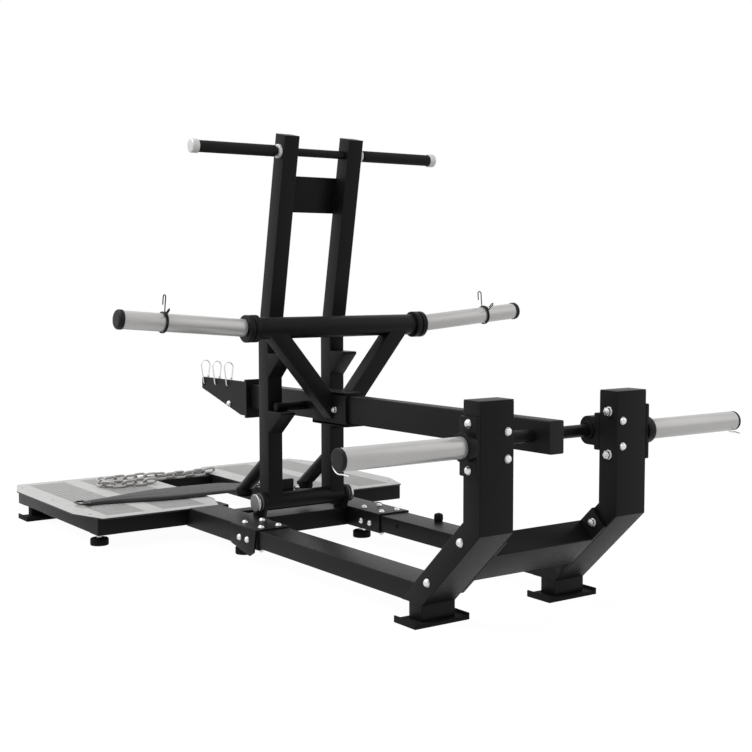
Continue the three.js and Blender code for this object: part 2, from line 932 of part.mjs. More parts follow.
const mastUpright = prismX(mastOutline(0, mastPivotZ, 0), ...mastSpan)
  .subtract(prismX(
    mastOutline(tubeWall, mastPivotZ - overrun, -tubeWall),
    mastInner + tubeWall,
    mastOuter - tubeWall,
  ))
  .add(catchWedge(upperCatchTop, upperCatchReach, upperCatchDrop))
  .add(catchWedge(lowerCatchTop, lowerCatchReach, lowerCatchDrop))
  .add(stopLeg)
  .subtract(hubClear)
  .subtract(handleClear);
addPair(machine, 'mast_upright', mastUpright, powderBlack);

const hubTab = block(
  [hubTabInner, mastInner - fitGap],
  [mastPivotY - hubTabReach, mastPivotY - hubTabReach + hubTabThickness],
  [mastPivotZ, hubTabTop],
);
const mastHub = rod(mastHubRadius, -mastHubHalf, mastHubHalf, 'x')
  .translate([0, mastPivotY, mastPivotZ])
  .add(hubTab)
  .subtract(rod(mastShaftRadius + fitGap, -mastHubHalf - overrun, mastHubHalf + overrun, 'x')
    .translate([0, mastPivotY, mastPivotZ]));
addPiece(machine, 'mast_hub', mastHub, powderBlack);

const bumper = roundedRod(bumperRadius, -bumperTop, -bumperBottom, bumperRound, 'z')
  .rotate([180, 0, 0])
  .translate([mastX, bumperY, 0]);
addPair(machine, 'stop_bumper', bumper, blackRubber);

const crossPlate = prismX([
  leanPoint(crossPlateTop, mastDepth),
  leanPoint(crossPlateTop - crossPlateHeight, mastDepth),
  leanPoint(crossPlateTop - crossPlateHeight, mastDepth - crossPlateThickness),
  leanPoint(crossPlateTop, mastDepth - crossPlateThickness),
], fitGap - mastInner, mastInner - fitGap);
addPiece(machine, 'mast_cross_plate', crossPlate, powderBlack);

// Handle bar with its collars and end knobs, and the grips between them

const gripOuter = gripInner + gripLength;
const handleEnd = rod(collarRadius, mastOuter + fitGap, mastOuter + fitGap + collarThickness, 'x')
  .add(roundedRod(knobRadius, gripOuter + fitGap, gripOuter + fitGap + knobLength, knobRound, 'x'));
const handleBar = rod(handleRadius, -gripOuter - knobRound, gripOuter + knobRound, 'x')
  .add(handleEnd)
  .add(mirrored(handleEnd, -1))
  .translate([0, handleY, handleHeight]);
addPiece(machine, 'handle_bar', handleBar, powderBlack);

const grip = pipe(gripRadius, handleRadius + fitGap, gripInner, gripOuter, 'x')
  .translate([0, handleY, handleHeight]);
addPair(machine, 'handle_grip', grip, blackRubber);

// Lever, in its own frame: the origin is the pivot, and the beam runs along -Y

const beamFront = -beamReach;
const beamHalfHeight = beamHeight / 2;
const restBarY = mastRear + lowerCatchReach - restBarBack - leverPivotY;
const restBarZ = lowerCatchTop + fitGap + restBarRadius - leverPivotZ - leverTilt * restBarY;
const shaftClear = rod(leverShaftRadius + fitGap, -beamHalf - overrun, beamHalf + overrun, 'x');
const restBarClear = rod(restBarRadius + fitGap, -beamHalf - overrun, beamHalf + overrun, 'x')
  .translate([0, restBarY, restBarZ]);
const beam = block([-beamHalf, beamHalf], [beamFront, beamTail], [-beamHalfHeight, beamHalfHeight])
  .subtract(block(
    [tubeWall - beamHalf, beamHalf - tubeWall],
    [beamFront - overrun, beamTail + overrun],
    [tubeWall - beamHalfHeight, beamHalfHeight - tubeWall],
  ))
  .subtract(shaftClear)
  .subtract(restBarClear);
addPiece(lever, 'lever_beam', beam, powderBlack);

const beamPlug = block(
  [-beamHalf, beamHalf],
  [beamTail + fitGap, beamTail + fitGap + plugThickness],
  [-beamHalfHeight, beamHalfHeight],
).add(block(
  [plugSide - beamHalf, beamHalf - plugSide],
  [beamTail - plugDepth, beamTail + plugThickness],
  [plugSide - beamHalfHeight, beamHalfHeight - plugSide],
));
addPiece(lever, 'lever_beam_plug', beamPlug, blackPlastic);

const shaftHalf = blockOuter + leverShaftPast;
addPiece(lever, 'lever_shaft', rod(leverShaftRadius, -shaftHalf, shaftHalf, 'x'), powderBlack);

const restBar = rod(restBarRadius, -restBarHalf, restBarHalf, 'x').translate([0, restBarY, restBarZ]);
addPiece(lever, 'rest_bar', restBar, powderBlack);

// Front flange with the hook plate

const flangeRear = beamFront - fitGap;
const plateRear = flangeRear - flangeThickness;
const hookTip = plateRear - hookLength;
const hookOutline = [
  [plateRear + tubeWall, hookTop],
  [hookTip, hookTop],
  [hookTip, hookTop - hookTipHeight],
  [plateRear - hookHeel, -flangeDrop],
  [plateRear + tubeWall, -flangeDrop],
];
const hookHalf = hookThickness / 2;
const holeZ = hookTop - hookHoleDrop;

function hookHole(radius, y, z) {
  return rod(radius, -hookHalf - overrun, hookHalf + overrun, 'x', smallSides).translate([0, y, z]);
}

let hookPlate = block(
  [-flangeHalfWidth, flangeHalfWidth],
  [plateRear, flangeRear],
  [-flangeDrop, flangeRise],
).add(prismX(hookOutline, -hookHalf, hookHalf))
  .subtract(hookHole(hookBoltRadius, plateRear - hookBoltSetback, hookBoltHeight));
const holePlaces = [];
for (let index = 0; index < carabinerCount; index += 1) {
  holePlaces.push(hookTip + hookHoleSetback + index * hookHolePitch);
}
for (const place of holePlaces) {
  hookPlate = hookPlate.subtract(hookHole(hookHoleRadius, place, holeZ));
}
addPiece(lever, 'hook_plate', hookPlate, powderBlack);

// Carabiner: a pear of wire that stands in its hole, narrow end down.
// Two arcs are joined by their common tangents.

function carabiner() {
  const points = [];
  const tilt = Math.asin((carabinerHead - carabinerFoot) / (carabinerRise - carabinerFoot));
  const footSweep = Math.PI / 2 - tilt;
  for (let step = 0; step <= footSteps; step += 1) {
    const angle = -Math.PI / 2 + footSweep * ((2 * step) / footSteps - 1);
    points.push(new THREE.Vector3(
      carabinerFoot * Math.cos(angle),
      0,
      carabinerFoot + carabinerFoot * Math.sin(angle),
    ));
  }
  const headSweep = Math.PI / 2 + tilt;
  for (let step = 0; step <= headSteps; step += 1) {
    const angle = Math.PI / 2 + headSweep * ((2 * step) / headSteps - 1);
    points.push(new THREE.Vector3(
      carabinerHead * Math.cos(angle),
      0,
      carabinerRise + carabinerHead * Math.sin(angle),
    ));
  }
  return closedWire(points, axisY, wireRadius, wireSides);
}

holePlaces.forEach((place, index) => {
  const mesh = addPiece(lever, `carabiner_${index + 1}`, carabiner(), chrome);
  mesh.position.set(0, place, holeZ);
});

// Saddle round the beam, and the legs of the V up to the cross tube

const crossTubeBack = restBarY + crossTubePastBar;
const saddleRear = restBarY + saddlePastBar;
const saddleHole = fitGap;
const saddleHalf = beamHalf + saddleHole + saddleWall;
const saddleHeight = beamHalfHeight + saddleHole + saddleWall;
const saddleFront = saddleRear - saddleLength;
const saddle = block([-saddleHalf, saddleHalf], [saddleFront, saddleRear], [-saddleHeight, saddleHeight])
  .subtract(block(
    [-beamHalf - saddleHole, beamHalf + saddleHole],
    [saddleFront - overrun, saddleRear + overrun],
    [-beamHalfHeight - saddleHole, beamHalfHeight + saddleHole],
  ));
addPiece(lever, 'lever_saddle', saddle, powderBlack);

const legFootX = saddleHalf + fitGap;
const legHalfRun = (legTube / 2) * Math.hypot(1, 1 / legSlope);
const legTopZ = crossTubeRise - legTopDrop;

function legLineZ(x, shift) {
  return legTopZ + legSlope * (x - legTopSpread - shift);
}

function vLegOutline(inset, foot) {
  const shift = (legHalfRun * (legTube - 2 * inset)) / legTube;
  const topX = legTopSpread + legTopDrop / legSlope;
  return [
    [foot, legLineZ(foot, shift)],
    [topX + shift, crossTubeRise],
    [topX - shift, crossTubeRise],
    [foot, legLineZ(foot, -shift)],
  ];
}

const legSpan = [crossTubeBack - legTube / 2, crossTubeBack + legTube / 2];
const tubeClear = rod(crossTubeRadius + fitGap, 0, collarOuter, 'x')
  .translate([0, crossTubeBack, crossTubeRise]);
const vLeg = prismY(vLegOutline(0, legFootX), ...legSpan)
  .subtract(prismY(vLegOutline(tubeWall, legFootX - overrun), legSpan[0] + tubeWall, legSpan[1] - tubeWall))
  .subtract(tubeClear);
addPair(lever, 'v_leg', vLeg, powderBlack);

// Cross tube with a grooved collar on each end

const tubeBore = crossTubeRadius - crossTubeWall;
const grooveOuter = collarOuter - collarFlange;
const grooveInner = grooveOuter - collarGroove;
const collarInner = grooveInner - collarRing;
const grooveRadius = collarRingRadius - collarGrooveDepth;
const collarHalf = [
  [crossTubeRadius, collarInner],
  [collarRingRadius, collarInner],
  [collarRingRadius, grooveInner],
  [grooveRadius, grooveInner],
  [grooveRadius, grooveOuter],
  [collarRingRadius, grooveOuter],
  [collarRingRadius, collarOuter],
  [collarBore, collarOuter],
  [collarBore, collarInner],
  [tubeBore, collarInner],
];
const collarOther = collarHalf.map((point) => [point[0], -point[1]]).reverse();
const tubeSection = [...collarHalf, ...collarOther, collarHalf[0]];
const crossTube = turned(tubeSection, roundSides, 'x').translate([0, crossTubeBack, crossTubeRise]);
addPiece(lever, 'cross_tube', crossTube, powderBlack);

// Load sleeves: canted tubes that start inside the collars' outer faces

const sleeveStart = collarOuter + fitGap;
const sleeveZ = crossTubeRise + sleeveRootRise;

function canted(solid) {
  const cant = (-sleeveCant * 180) / Math.PI;
  return solid.rotate([0, cant, 0]).translate([sleeveStart, crossTubeBack, sleeveZ]);
}

const collarClear = block(
  [collarInner, sleeveStart],
  [crossTubeBack - collarRingRadius, crossTubeBack + collarRingRadius],
  [crossTubeRise - 2 * collarRingRadius, crossTubeRise + 2 * collarRingRadius],
);
const loadSleeve = canted(pipe(barRadius, barRadius - barWall, -sleeveRoot, sleeveLength, 'x'))
  .subtract(collarClear);
addPair(lever, 'load_sleeve', loadSleeve, satinSteel);
addPair(lever, 'sleeve_cap', canted(endCap(sleeveLength + fitGap)), blackPlastic);

// Spring clips: a wire wound round the sleeve, with a tall stem that hooks over and a short tail

function springClip() {
  const radius = barRadius + clipWire + clipSlack;
  const hookRadius = clipHookWidth / 2;
  const top = radius + clipStem;
  const start = Math.asin(clipBend / radius);
  const sweep = 2 * Math.PI * clipTurns - start;
  const steps = Math.round(clipTurns * clipStepsPerTurn);
  const halfWidth = (clipPitch * clipTurns) / 2;
  const points = [new THREE.Vector3(-halfWidth, -clipHookWidth, top - clipHookDrop)];
  for (let step = 0; step <= clipHookSteps; step += 1) {
    const angle = Math.PI * (1 - step / clipHookSteps);
    points.push(new THREE.Vector3(
      -halfWidth,
      hookRadius * (Math.cos(angle) - 1),
      top - hookRadius + hookRadius * Math.sin(angle),
    ));
  }
  points.push(new THREE.Vector3(-halfWidth, 0, radius + clipBend));
  for (let step = 0; step <= steps; step += 1) {
    const share = step / steps;
    const angle = start + sweep * share;
    points.push(new THREE.Vector3(
      -halfWidth + 2 * halfWidth * share,
      radius * Math.sin(angle),
      radius * Math.cos(angle),
    ));
  }
  const last = points[points.length - 1];
  points.push(new THREE.Vector3(halfWidth, last.y + clipTailOut, last.z + clipTailRise));
  const gap = leastGap(points, clipWire, Math.PI * radius);
  console.log(`spring clip: least gap of the wire to itself ${gap.toFixed(2)} mm`);
  return openWire(points, clipWire, wireSides);
}

addPair(lever, 'spring_clip', canted(springClip().translate([clipPlace, 0, 0])), chrome);

// Hip belt, laid flat across the platform. It narrows slowly to its near end and sharply to its far one.
// A flat ring hangs in the webbing at each end.

const beltRight = treadSide - beltSideGap;
const beltLeft = beltRight - beltLength;
const beltY = treadRear - beltSetback;
const beltBottom = treadTop + fitGap;
const ringZ = beltBottom + beltThickness / 2;
const beltNear = [];
const beltFar = [];
for (let step = 0; step <= beltSteps; step += 1) {
  const along = (beltLength * step) / beltSteps;
  const taperShare = Math.min(along / beltFarTaper, (beltLength - along) / beltNearTaper, 1);
  const swell = (1 - Math.cos(Math.PI * taperShare)) / 2;
  const half = (beltEndWidth + (beltWidth - beltEndWidth) * swell) / 2;
  const x = beltLeft + along;
  beltNear.push([x, beltY - half]);
  beltFar.unshift([x, beltY + half]);
}

function ringBore(x) {
  return rod(ringWire + fitGap, beltY - beltWidth, beltY + beltWidth, 'y', smallSides)
    .translate([x, 0, ringZ]);
}

const belt = prismZ([...beltNear, ...beltFar], beltBottom, beltBottom + beltThickness)
  .subtract(ringBore(beltRight - ringInset))
  .subtract(ringBore(beltLeft + ringInset));
addPiece(machine, 'hip_belt', belt, beltWeb);

// A closed loop round a rectangle with cut corners
function beltRing(inner, outer) {
  const corners = [
    [inner, ringCorner - ringWidth / 2],
    [inner, ringWidth / 2 - ringCorner],
    [inner + ringCorner, ringWidth / 2],
    [outer - ringCorner, ringWidth / 2],
    [outer, ringWidth / 2 - ringCorner],
    [outer, ringCorner - ringWidth / 2],
    [outer - ringCorner, -ringWidth / 2],
    [inner + ringCorner, -ringWidth / 2],
  ];
  const points = corners.map((corner) => new THREE.Vector3(corner[0], corner[1], 0));
  return closedWire(points.reverse(), axisZ, ringWire, wireSides).translate([0, beltY, ringZ]);
}

const ringRight = beltRight - ringInset;
const ringLeft = beltLeft + ringInset;
addPiece(machine, 'belt_ring_right', beltRing(ringRight, ringRight + ringLength), chrome);
addPiece(machine, 'belt_ring_left', beltRing(ringLeft - ringLength, ringLeft), chrome);

// Chain links, flat loops of wire

function chainLink() {
  const bend = linkInnerWidth / 2 + linkWire;
  const half = linkInnerLength / 2 - linkInnerWidth / 2;
  const points = [];
  for (const end of [1, -1]) {
    for (let step = 0; step <= linkArcSteps; step += 1) {
      const angle = end * Math.PI / 2 - Math.PI * (step / linkArcSteps);
      points.push(new THREE.Vector3(
        end * half + bend * Math.cos(angle),
        bend * Math.sin(angle),
        0,
      ));
    }
  }
  return closedWire(points.reverse(), axisZ, linkWire, wireSides);
}

// The chain's line: along a row, round a half turn, and back. Links roll to the left and right in turn.
function chainPlace(distance) {
  const row = chainBend - chainLeft;
  const turn = Math.PI * chainBendRadius;
  if (distance < row) {
    return { x: chainLeft + distance, y: chainRow, heading: 0 };
  }
  if (distance < row + turn) {
    const angle = (distance - row) / chainBendRadius;
    return {
      x: chainBend + chainBendRadius * Math.sin(angle),
      y: chainRow + chainBendRadius * (1 - Math.cos(angle)),
      heading: angle,
    };
  }
  return { x: chainBend - (distance - row - turn), y: chainRow + 2 * chainBendRadius, heading: Math.PI };
}

const chainLength = chainBend - chainLeft + Math.PI * chainBendRadius + chainBend - chainReturn;
const linkPitch = linkInnerLength + linkOverlap;
const linkCount = Math.floor(chainLength / linkPitch);
const linkHeight = (linkInnerWidth / 2 + linkWire) * Math.SQRT1_2 + linkWire;
let chain = null;
for (let index = 0; index < linkCount; index += 1) {
  const place = chainPlace((index + 1 / 2) * linkPitch);
  const link = chainLink()
    .rotate([index % 2 === 0 ? linkRoll : -linkRoll, 0, 0])
    .rotate([0, 0, (place.heading * 180) / Math.PI])
    .translate([place.x, place.y, treadTop + fitGap + linkHeight]);
  chain = chain ? chain.add(link) : link;
}
addPiece(machine, 'belt_chain', chain, chrome);

export default machine;
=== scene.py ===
import json
from math import cos, hypot, pi, radians, sin

import bmesh
import bpy
import numpy as np
from mathutils import Matrix, Vector


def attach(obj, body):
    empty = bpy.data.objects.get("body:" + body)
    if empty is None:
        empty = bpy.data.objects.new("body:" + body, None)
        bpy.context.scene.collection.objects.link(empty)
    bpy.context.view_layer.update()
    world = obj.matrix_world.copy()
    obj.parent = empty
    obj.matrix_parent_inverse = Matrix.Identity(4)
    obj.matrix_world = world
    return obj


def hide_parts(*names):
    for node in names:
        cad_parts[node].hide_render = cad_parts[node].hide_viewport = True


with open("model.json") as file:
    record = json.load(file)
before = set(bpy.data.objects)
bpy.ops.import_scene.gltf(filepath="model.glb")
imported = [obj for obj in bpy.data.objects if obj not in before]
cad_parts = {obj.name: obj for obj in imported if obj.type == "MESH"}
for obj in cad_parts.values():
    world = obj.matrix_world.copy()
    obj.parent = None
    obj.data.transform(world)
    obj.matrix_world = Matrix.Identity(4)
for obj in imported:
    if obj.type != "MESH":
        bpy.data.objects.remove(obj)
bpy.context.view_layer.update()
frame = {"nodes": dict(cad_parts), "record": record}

# Measures are millimetres from the rear uprights' rear face, and become metres in the CAD's frame.
# The fit is the gap between pieces that touch, and sharpAngle the turn above which an edge stays sharp
rearFace, fit, sharpAngle = 1087.0, 0.3, 20.0
pivotY, pivotZ, leverTilt = -100.0, 450.0, 0.0075


def siteToFrame(points):
    # Shift along Y from the uprights' rear face to the CAD's origin, then millimetres to metres
    return (np.asarray(points, float) + (0.0, rearFace, 0.0)) / 1000.0


def leverToFrame(points):
    # Turn about X by the lever's droop, move to the lever's pivot, then as siteToFrame
    p = np.asarray(points, float)
    c, s = cos(leverTilt), sin(leverTilt)
    swung = np.stack([p[:, 0], p[:, 1] * c - p[:, 2] * s, p[:, 1] * s + p[:, 2] * c], 1)
    return siteToFrame(swung + (0.0, pivotY, pivotZ))


# Surfaces

def about(middle, half):
    # The span a half width either side of a middle
    return middle - half, middle + half


def gridFaces(rows, cols, closeRows=False, closeCols=True):
    # Quads between each row of points and the next, wrapping where a direction is closed
    r = np.arange(rows if closeRows else rows - 1)[:, None]
    c = np.arange(cols if closeCols else cols - 1)[None, :]
    rn, cn = (r + 1) % rows, (c + 1) % cols
    corners = np.broadcast_arrays(r * cols + c, r * cols + cn, rn * cols + cn, rn * cols + c)
    return np.stack(corners, -1).reshape(-1, 4)


def ringStack(rings, closeRows=False):
    # Rings (rows, cols, 3) skinned in order; open ends are closed by one flat face each
    rows, cols = rings.shape[:2]
    faces = gridFaces(rows, cols, closeRows).tolist()
    if not closeRows:
        faces += [list(range(cols))[::-1], list(range((rows - 1) * cols, rows * cols))]
    return rings.reshape(-1, 3), faces


def joined(*parts):
    # Points of all parts in one list, each part's faces counted on from the parts before
    points, faces, start = [], [], 0
    for partPoints, partFaces in parts:
        points.append(partPoints)
        faces += [[start + i for i in face] for face in partFaces]
        start += len(partPoints)
    return np.concatenate(points), faces


def unit(vectors):
    # Vectors over their lengths
    return vectors / np.maximum(np.linalg.norm(vectors, axis=-1, keepdims=True), 1e-9)


def filleted(outline, radius, steps=4):
    # Each corner becomes an arc tangent to both edges: centre on the bisector, radius / tan(half angle) back
    p = np.asarray(outline, float)
    n = len(p)
    r = np.broadcast_to(np.asarray(radius, float), (n,))
    a, b = unit(np.roll(p, 1, 0) - p), unit(np.roll(p, -1, 0) - p)
    half = np.arccos(np.clip((a * b).sum(1), -1, 1)) / 2
    back = r / np.tan(half)
    centre = p + unit(a + b) * (r / np.sin(half))[:, None]
    t = np.linspace(0, 1, steps + 1)[None, :, None]
    start, end = (p + a * back[:, None] - centre)[:, None], (p + b * back[:, None] - centre)[:, None]
    return (centre[:, None] + unit(start * (1 - t) + end * t) * r[:, None, None]).reshape(-1, 2)


def inset(outline, distance):
    # Every point moves in along the mean normal of its two edges, further at sharp corners
    p = np.asarray(outline, float)
    ahead = unit(np.roll(p, -1, 0) - p)
    both = ahead + np.roll(ahead, 1, 0)
    side = np.sign((p[:, 0] * np.roll(p[:, 1], -1) - np.roll(p[:, 0], -1) * p[:, 1]).sum())
    normal = unit(np.stack([-both[:, 1], both[:, 0]], 1) * side)
    spread = np.maximum((normal * np.stack([-ahead[:, 1], ahead[:, 0]], 1) * side).sum(1), 0.4)
    return p + normal * (distance / spread)[:, None]


def onPlane(flat, height, plane):
    # Places (u, v) at a height along the plane's normal: X over (y, z), Y over (x, z), Z over (x, y)
    h = np.full(len(flat), height)
    order = {"X": (h, flat[:, 0], flat[:, 1]), "Y": (flat[:, 0], h, flat[:, 1]), "Z": (flat[:, 0], flat[:, 1], h)}
    return np.stack(order[plane], 1)


def slab(outline, low, high, plane, rim=1.0, corner=0.0, steps=3):
    # An outline carried along a plane's normal; its two rims are quarter circles, drawn in by the inset
    flat = filleted(outline, corner) if np.max(corner) > 0 else np.asarray(outline, float)
    t = np.linspace(0, pi / 2, steps + 1)
    depth = np.concatenate([rim * (1 - np.sin(t)), rim * (1 - np.sin(t[::-1]))])
    place = np.concatenate([low + rim * (1 - np.cos(t)), high - rim * (1 - np.cos(t[::-1]))])
    return ringStack(np.stack([onPlane(inset(flat, d), h, plane) for d, h in zip(depth, place)]))


def box(spanA, spanB, spanC, plane="Z", rim=1.0, corner=1.0):
    # A slab over a rectangle; spans are in the order X, Y, Z
    spans = {"X": (spanB, spanC, spanA), "Y": (spanA, spanC, spanB), "Z": (spanA, spanB, spanC)}[plane]
    (u0, u1), (v0, v1), (h0, h1) = spans
    return slab([(u0, v0), (u1, v0), (u1, v1), (u0, v1)], h0, h1, plane, rim, corner)


def pairTube(pairs, span, plane, radius, rim=0.6, steps=4):
    # A rounded rectangular tube between two edge lines: a point at depth d of a station is
    # near + d (far - near), and its place across the tube runs over the span
    pairs = np.asarray(pairs, float)
    width = span[1] - span[0]
    depth = np.median(np.linalg.norm(pairs[:, 1] - pairs[:, 0], axis=1))
    section = filleted([(0, 0), (width, 0), (width, depth), (0, depth)], radius, steps)
    small = inset(section, rim)
    first, last = pairs[0], pairs[-1]
    nextFirst = first + (pairs[1] - first) * rim / np.linalg.norm(pairs[1][0] - first[0])
    nextLast = last + (pairs[-2] - last) * rim / np.linalg.norm(pairs[-2][0] - last[0])
    stations = [(first, small), (nextFirst, section), *[(q, section) for q in pairs[1:-1]],
                (nextLast, section), (last, small)]
    rings = []
    for (near, far), cut in stations:
        share = (cut[:, 1] / depth)[:, None]
        flat = near * (1 - share) + far * share
        across = span[0] + cut[:, 0]
        rings.append(np.stack([across, flat[:, 0], flat[:, 1]], 1) if plane == "X"
                     else np.stack([flat[:, 0], across, flat[:, 1]], 1))
    return ringStack(np.stack(rings))


def lathe(profile, axis, centre=(0, 0, 0), sides=64, closed=False):
    # Profile (radius, height) turned about an axis: point = height along it + radius (cos, sin) across it
    prof = np.asarray(profile, float)
    r, h = prof[:, 0][:, None], prof[:, 1][:, None]
    a = np.linspace(0, 2 * pi, sides, endpoint=False)[None, :]
    u, v, w = r * np.cos(a), r * np.sin(a), h + 0 * a
    order = {"X": (w, u, v), "Y": (v, w, u), "Z": (u, v, w)}[axis]
    return ringStack(np.stack(order, -1) + np.asarray(centre, float), closed)


def rounded(profile, radius, steps=3):
    # The inner corners of an open profile become arcs; its ends stay
    p = np.asarray(profile, float)
    arcs = filleted(p, np.concatenate([[1e-6], np.broadcast_to(radius, (len(p) - 2,)), [1e-6]]), steps)
    n = steps + 1
    return np.concatenate([p[:1], arcs[n:-n], p[-1:]])


def turned(profile, rims, axis, centre=(0, 0, 0), sides=64, closed=False, steps=3):
    # A profile with its inner corners rounded by the rims, turned about an axis
    return lathe(rounded(profile, rims, steps), axis, centre, sides, closed)


def rod(radius, low, high, axis, centre=(0, 0, 0), rim=1.0, sides=64):
    # A turned rod with rounded rims
    return turned([(0.01, low), (radius, low), (radius, high), (0.01, high)], rim, axis, centre, sides)


wireNormal = (1, 0.02, 0)  # for wires that lie across X, and never along their own line


def wire(path, radius, sides=10, closed=True, normal=(0, 0, 1)):
    # A round section carried along a path: point = path + radius (cos a side + sin a up),
    # side = tangent x normal, up = side x tangent
    p = np.asarray(path, float)
    tangent = unit(np.roll(p, -1, 0) - np.roll(p, 1, 0) if closed else np.gradient(p, axis=0))
    side = unit(np.cross(tangent, np.broadcast_to(normal, p.shape)))
    up = np.cross(side, tangent)
    a = np.linspace(0, 2 * pi, sides, endpoint=False)
    rings = p[:, None] + radius * (np.cos(a)[None, :, None] * side[:, None] + np.sin(a)[None, :, None] * up[:, None])
    return ringStack(rings, closed)


def smoothLine(points, count):
    # Catmull-Rom: the mean-slope cubic through the points, sampled evenly in its parameter
    p = np.asarray(points, float)
    last = len(p) - 1
    t = np.linspace(0, last, count)
    i = np.minimum(t.astype(int), last - 1)
    f = (t - i)[:, None]
    a, b, c, d = [p[np.clip(i + step, 0, last)] for step in (-1, 0, 1, 2)]
    return 0.5 * (2 * b + (c - a) * f + (2 * a - 5 * b + 4 * c - d) * f ** 2 + (3 * b - a - 3 * c + d) * f ** 3)


def mirroredX(part):
    # The same part at -X, with its faces turned round
    points, faces = part
    return points * (-1, 1, 1), [list(face)[::-1] for face in faces]


def moved(part, offset):
    # The same part, shifted
    return part[0] + np.asarray(offset, float), part[1]


def aimed(part, place, direction):
    # The part's Z axis turned to the direction, and its foot moved to the place
    turn = np.array(Vector(direction).to_track_quat("Z", "Y").to_matrix())
    return part[0] @ turn.T + np.asarray(place, float), part[1]


def addObject(name, data):
    # A new object in the scene
    thing = bpy.data.objects.new(name, data)
    bpy.context.scene.collection.objects.link(thing)
    return thing


def wholeFaces(work):
    # Flat faces that were cut into triangles become one face each
    bmesh.ops.dissolve_limit(work, angle_limit=radians(0.5), verts=work.verts, edges=work.edges)


def outwardFaces(work):
    # Every face turned to look outwards
    bmesh.ops.recalc_face_normals(work, faces=work.faces)


def addPiece(name, mesh, mend, body, look, node, angle=sharpAngle):
    # A mended mesh with its doubles merged, smooth but for its sharp edges, riding on its body.
    # A look is a slot's name and a material
    work = bmesh.new()
    work.from_mesh(mesh)
    bmesh.ops.remove_doubles(work, verts=work.verts, dist=2e-6)
    mend(work)
    work.to_mesh(mesh)
    work.free()
    mesh.polygons.foreach_set("use_smooth", np.ones(len(mesh.polygons), bool))
    mesh.set_sharp_from_angle(angle=radians(angle))
    slot, material = look
    mesh.materials.clear()
    mesh.materials.append(material)
    piece = addObject(name, mesh)
    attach(piece, body)
    if node:
        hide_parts(node)
    return piece


def makePiece(name, part, body, look, node=None, onLever=False, angle=sharpAngle):
    # A piece from points and faces
    points, faces = part
    mesh = bpy.data.meshes.new(name)
    mesh.from_pydata((leverToFrame if onLever else siteToFrame)(points).tolist(), [], faces)
    return addPiece(name, mesh, outwardFaces, body, look, node, angle)


# Shader maths

class Signal:
    # A socket whose sums and products add Math nodes

    def __init__(self, graph, socket):
        self.graph, self.socket = graph, socket

    def maths(self, operation, *values):
        return self.graph.add("ShaderNodeMath", {"operation": operation}, values)[0]

    def __add__(self, other):
        return self.maths("ADD", self, other)

    def __sub__(self, other):
        return self.maths("SUBTRACT", self, other)

    def __rsub__(self, other):
        return self.maths("SUBTRACT", other, self)

    def __mul__(self, other):
        return self.maths("MULTIPLY", self, other)

    __radd__, __rmul__ = __add__, __mul__

    def sine(self):
        return self.maths("SINE", self)

    def above(self, level):
        return self.maths("GREATER_THAN", self, level)

    def power(self, level):
        return self.maths("POWER", self, level)

    def smaller(self, other):
        return self.maths("MINIMUM", self, other)

    def larger(self, other):
        return self.maths("MAXIMUM", self, other)

    def absolute(self):
        return self.maths("ABSOLUTE", self)


class Graph:
    # A node tree and the one method that adds nodes to it

    def __init__(self, owner, clear=True):
        owner.use_nodes = True
        self.nodes, self.links = owner.node_tree.nodes, owner.node_tree.links
        if clear:
            self.nodes.clear()

    def feed(self, node, values):
        # Sets a socket to a value, or links a signal to it; keys are names or numbers
        for key, value in values.items():
            if isinstance(value, Signal):
                self.links.new(value.socket, node.inputs[key])
            elif value is not None:
                node.inputs[key].default_value = value

    def add(self, kind, settings=None, values=()):
        # A node of a type, with its settings first and then its sockets' values or links
        node = self.nodes.new(kind)
        for key, value in (settings or {}).items():
            setattr(node, key, value)
        self.feed(node, values if isinstance(values, dict) else dict(enumerate(values)))
        return [Signal(self, socket) for socket in node.outputs]

    def backdropRays(self):
        # 1 for rays from the camera and for those that metal or glass sends on
        path = {signal.socket.name: signal for signal in self.add("ShaderNodeLightPath")}
        return path["Is Camera Ray"].larger(path["Is Glossy Ray"]).larger(path["Is Transmission Ray"])


class Finish(Graph):
    # A material whose Principled shader takes constants on its sockets and signals by link

    def __init__(self, name, **constants):
        self.material = bpy.data.materials.new(name)
        super().__init__(self.material, clear=False)
        self.shader = self.nodes["Principled BSDF"]
        self.feed(self.shader, {key.replace("_", " "): value for key, value in constants.items()})
        self.object = self.add("ShaderNodeTexCoord")[3]
        self.x, self.y, self.z = self.add("ShaderNodeSeparateXYZ", {}, [self.object])

    def stretched(self, scale):
        # Object coordinates scaled along X, Y and Z
        return self.add("ShaderNodeMapping", {}, {"Vector": self.object, "Scale": scale})[0]

    def noise(self, scale, detail=2.0, roughness=0.5, vector=None):
        return self.add("ShaderNodeTexNoise", {}, {"Vector": vector or self.object, "Scale": scale,
                                                   "Detail": detail, "Roughness": roughness})[0]

    def mixed(self, factor, low, high):
        # The colour low where the factor is 0, and high where it is 1
        return self.add("ShaderNodeMix", {"data_type": "RGBA"}, {0: factor, 6: low, 7: high})[2]

    def span(self, factor, low, high):
        # Takes 0..1 to low..high
        return factor * (high - low) + low

    def bump(self, height, distance, strength=1.0):
        normal = self.add("ShaderNodeBump", {}, {"Height": height, "Distance": distance, "Strength": strength})[0]
        self.feed(self.shader, {"Normal": normal})

    def wear(self, **signals):
        self.feed(self.shader, {key.replace("_", " "): value for key, value in signals.items()})


def grey(level, warm=0.0):
    # A linear grey, a little redder and less blue where warm is above 0
    return (level * (1 + warm), level, level * (1 - warm), 1.0)


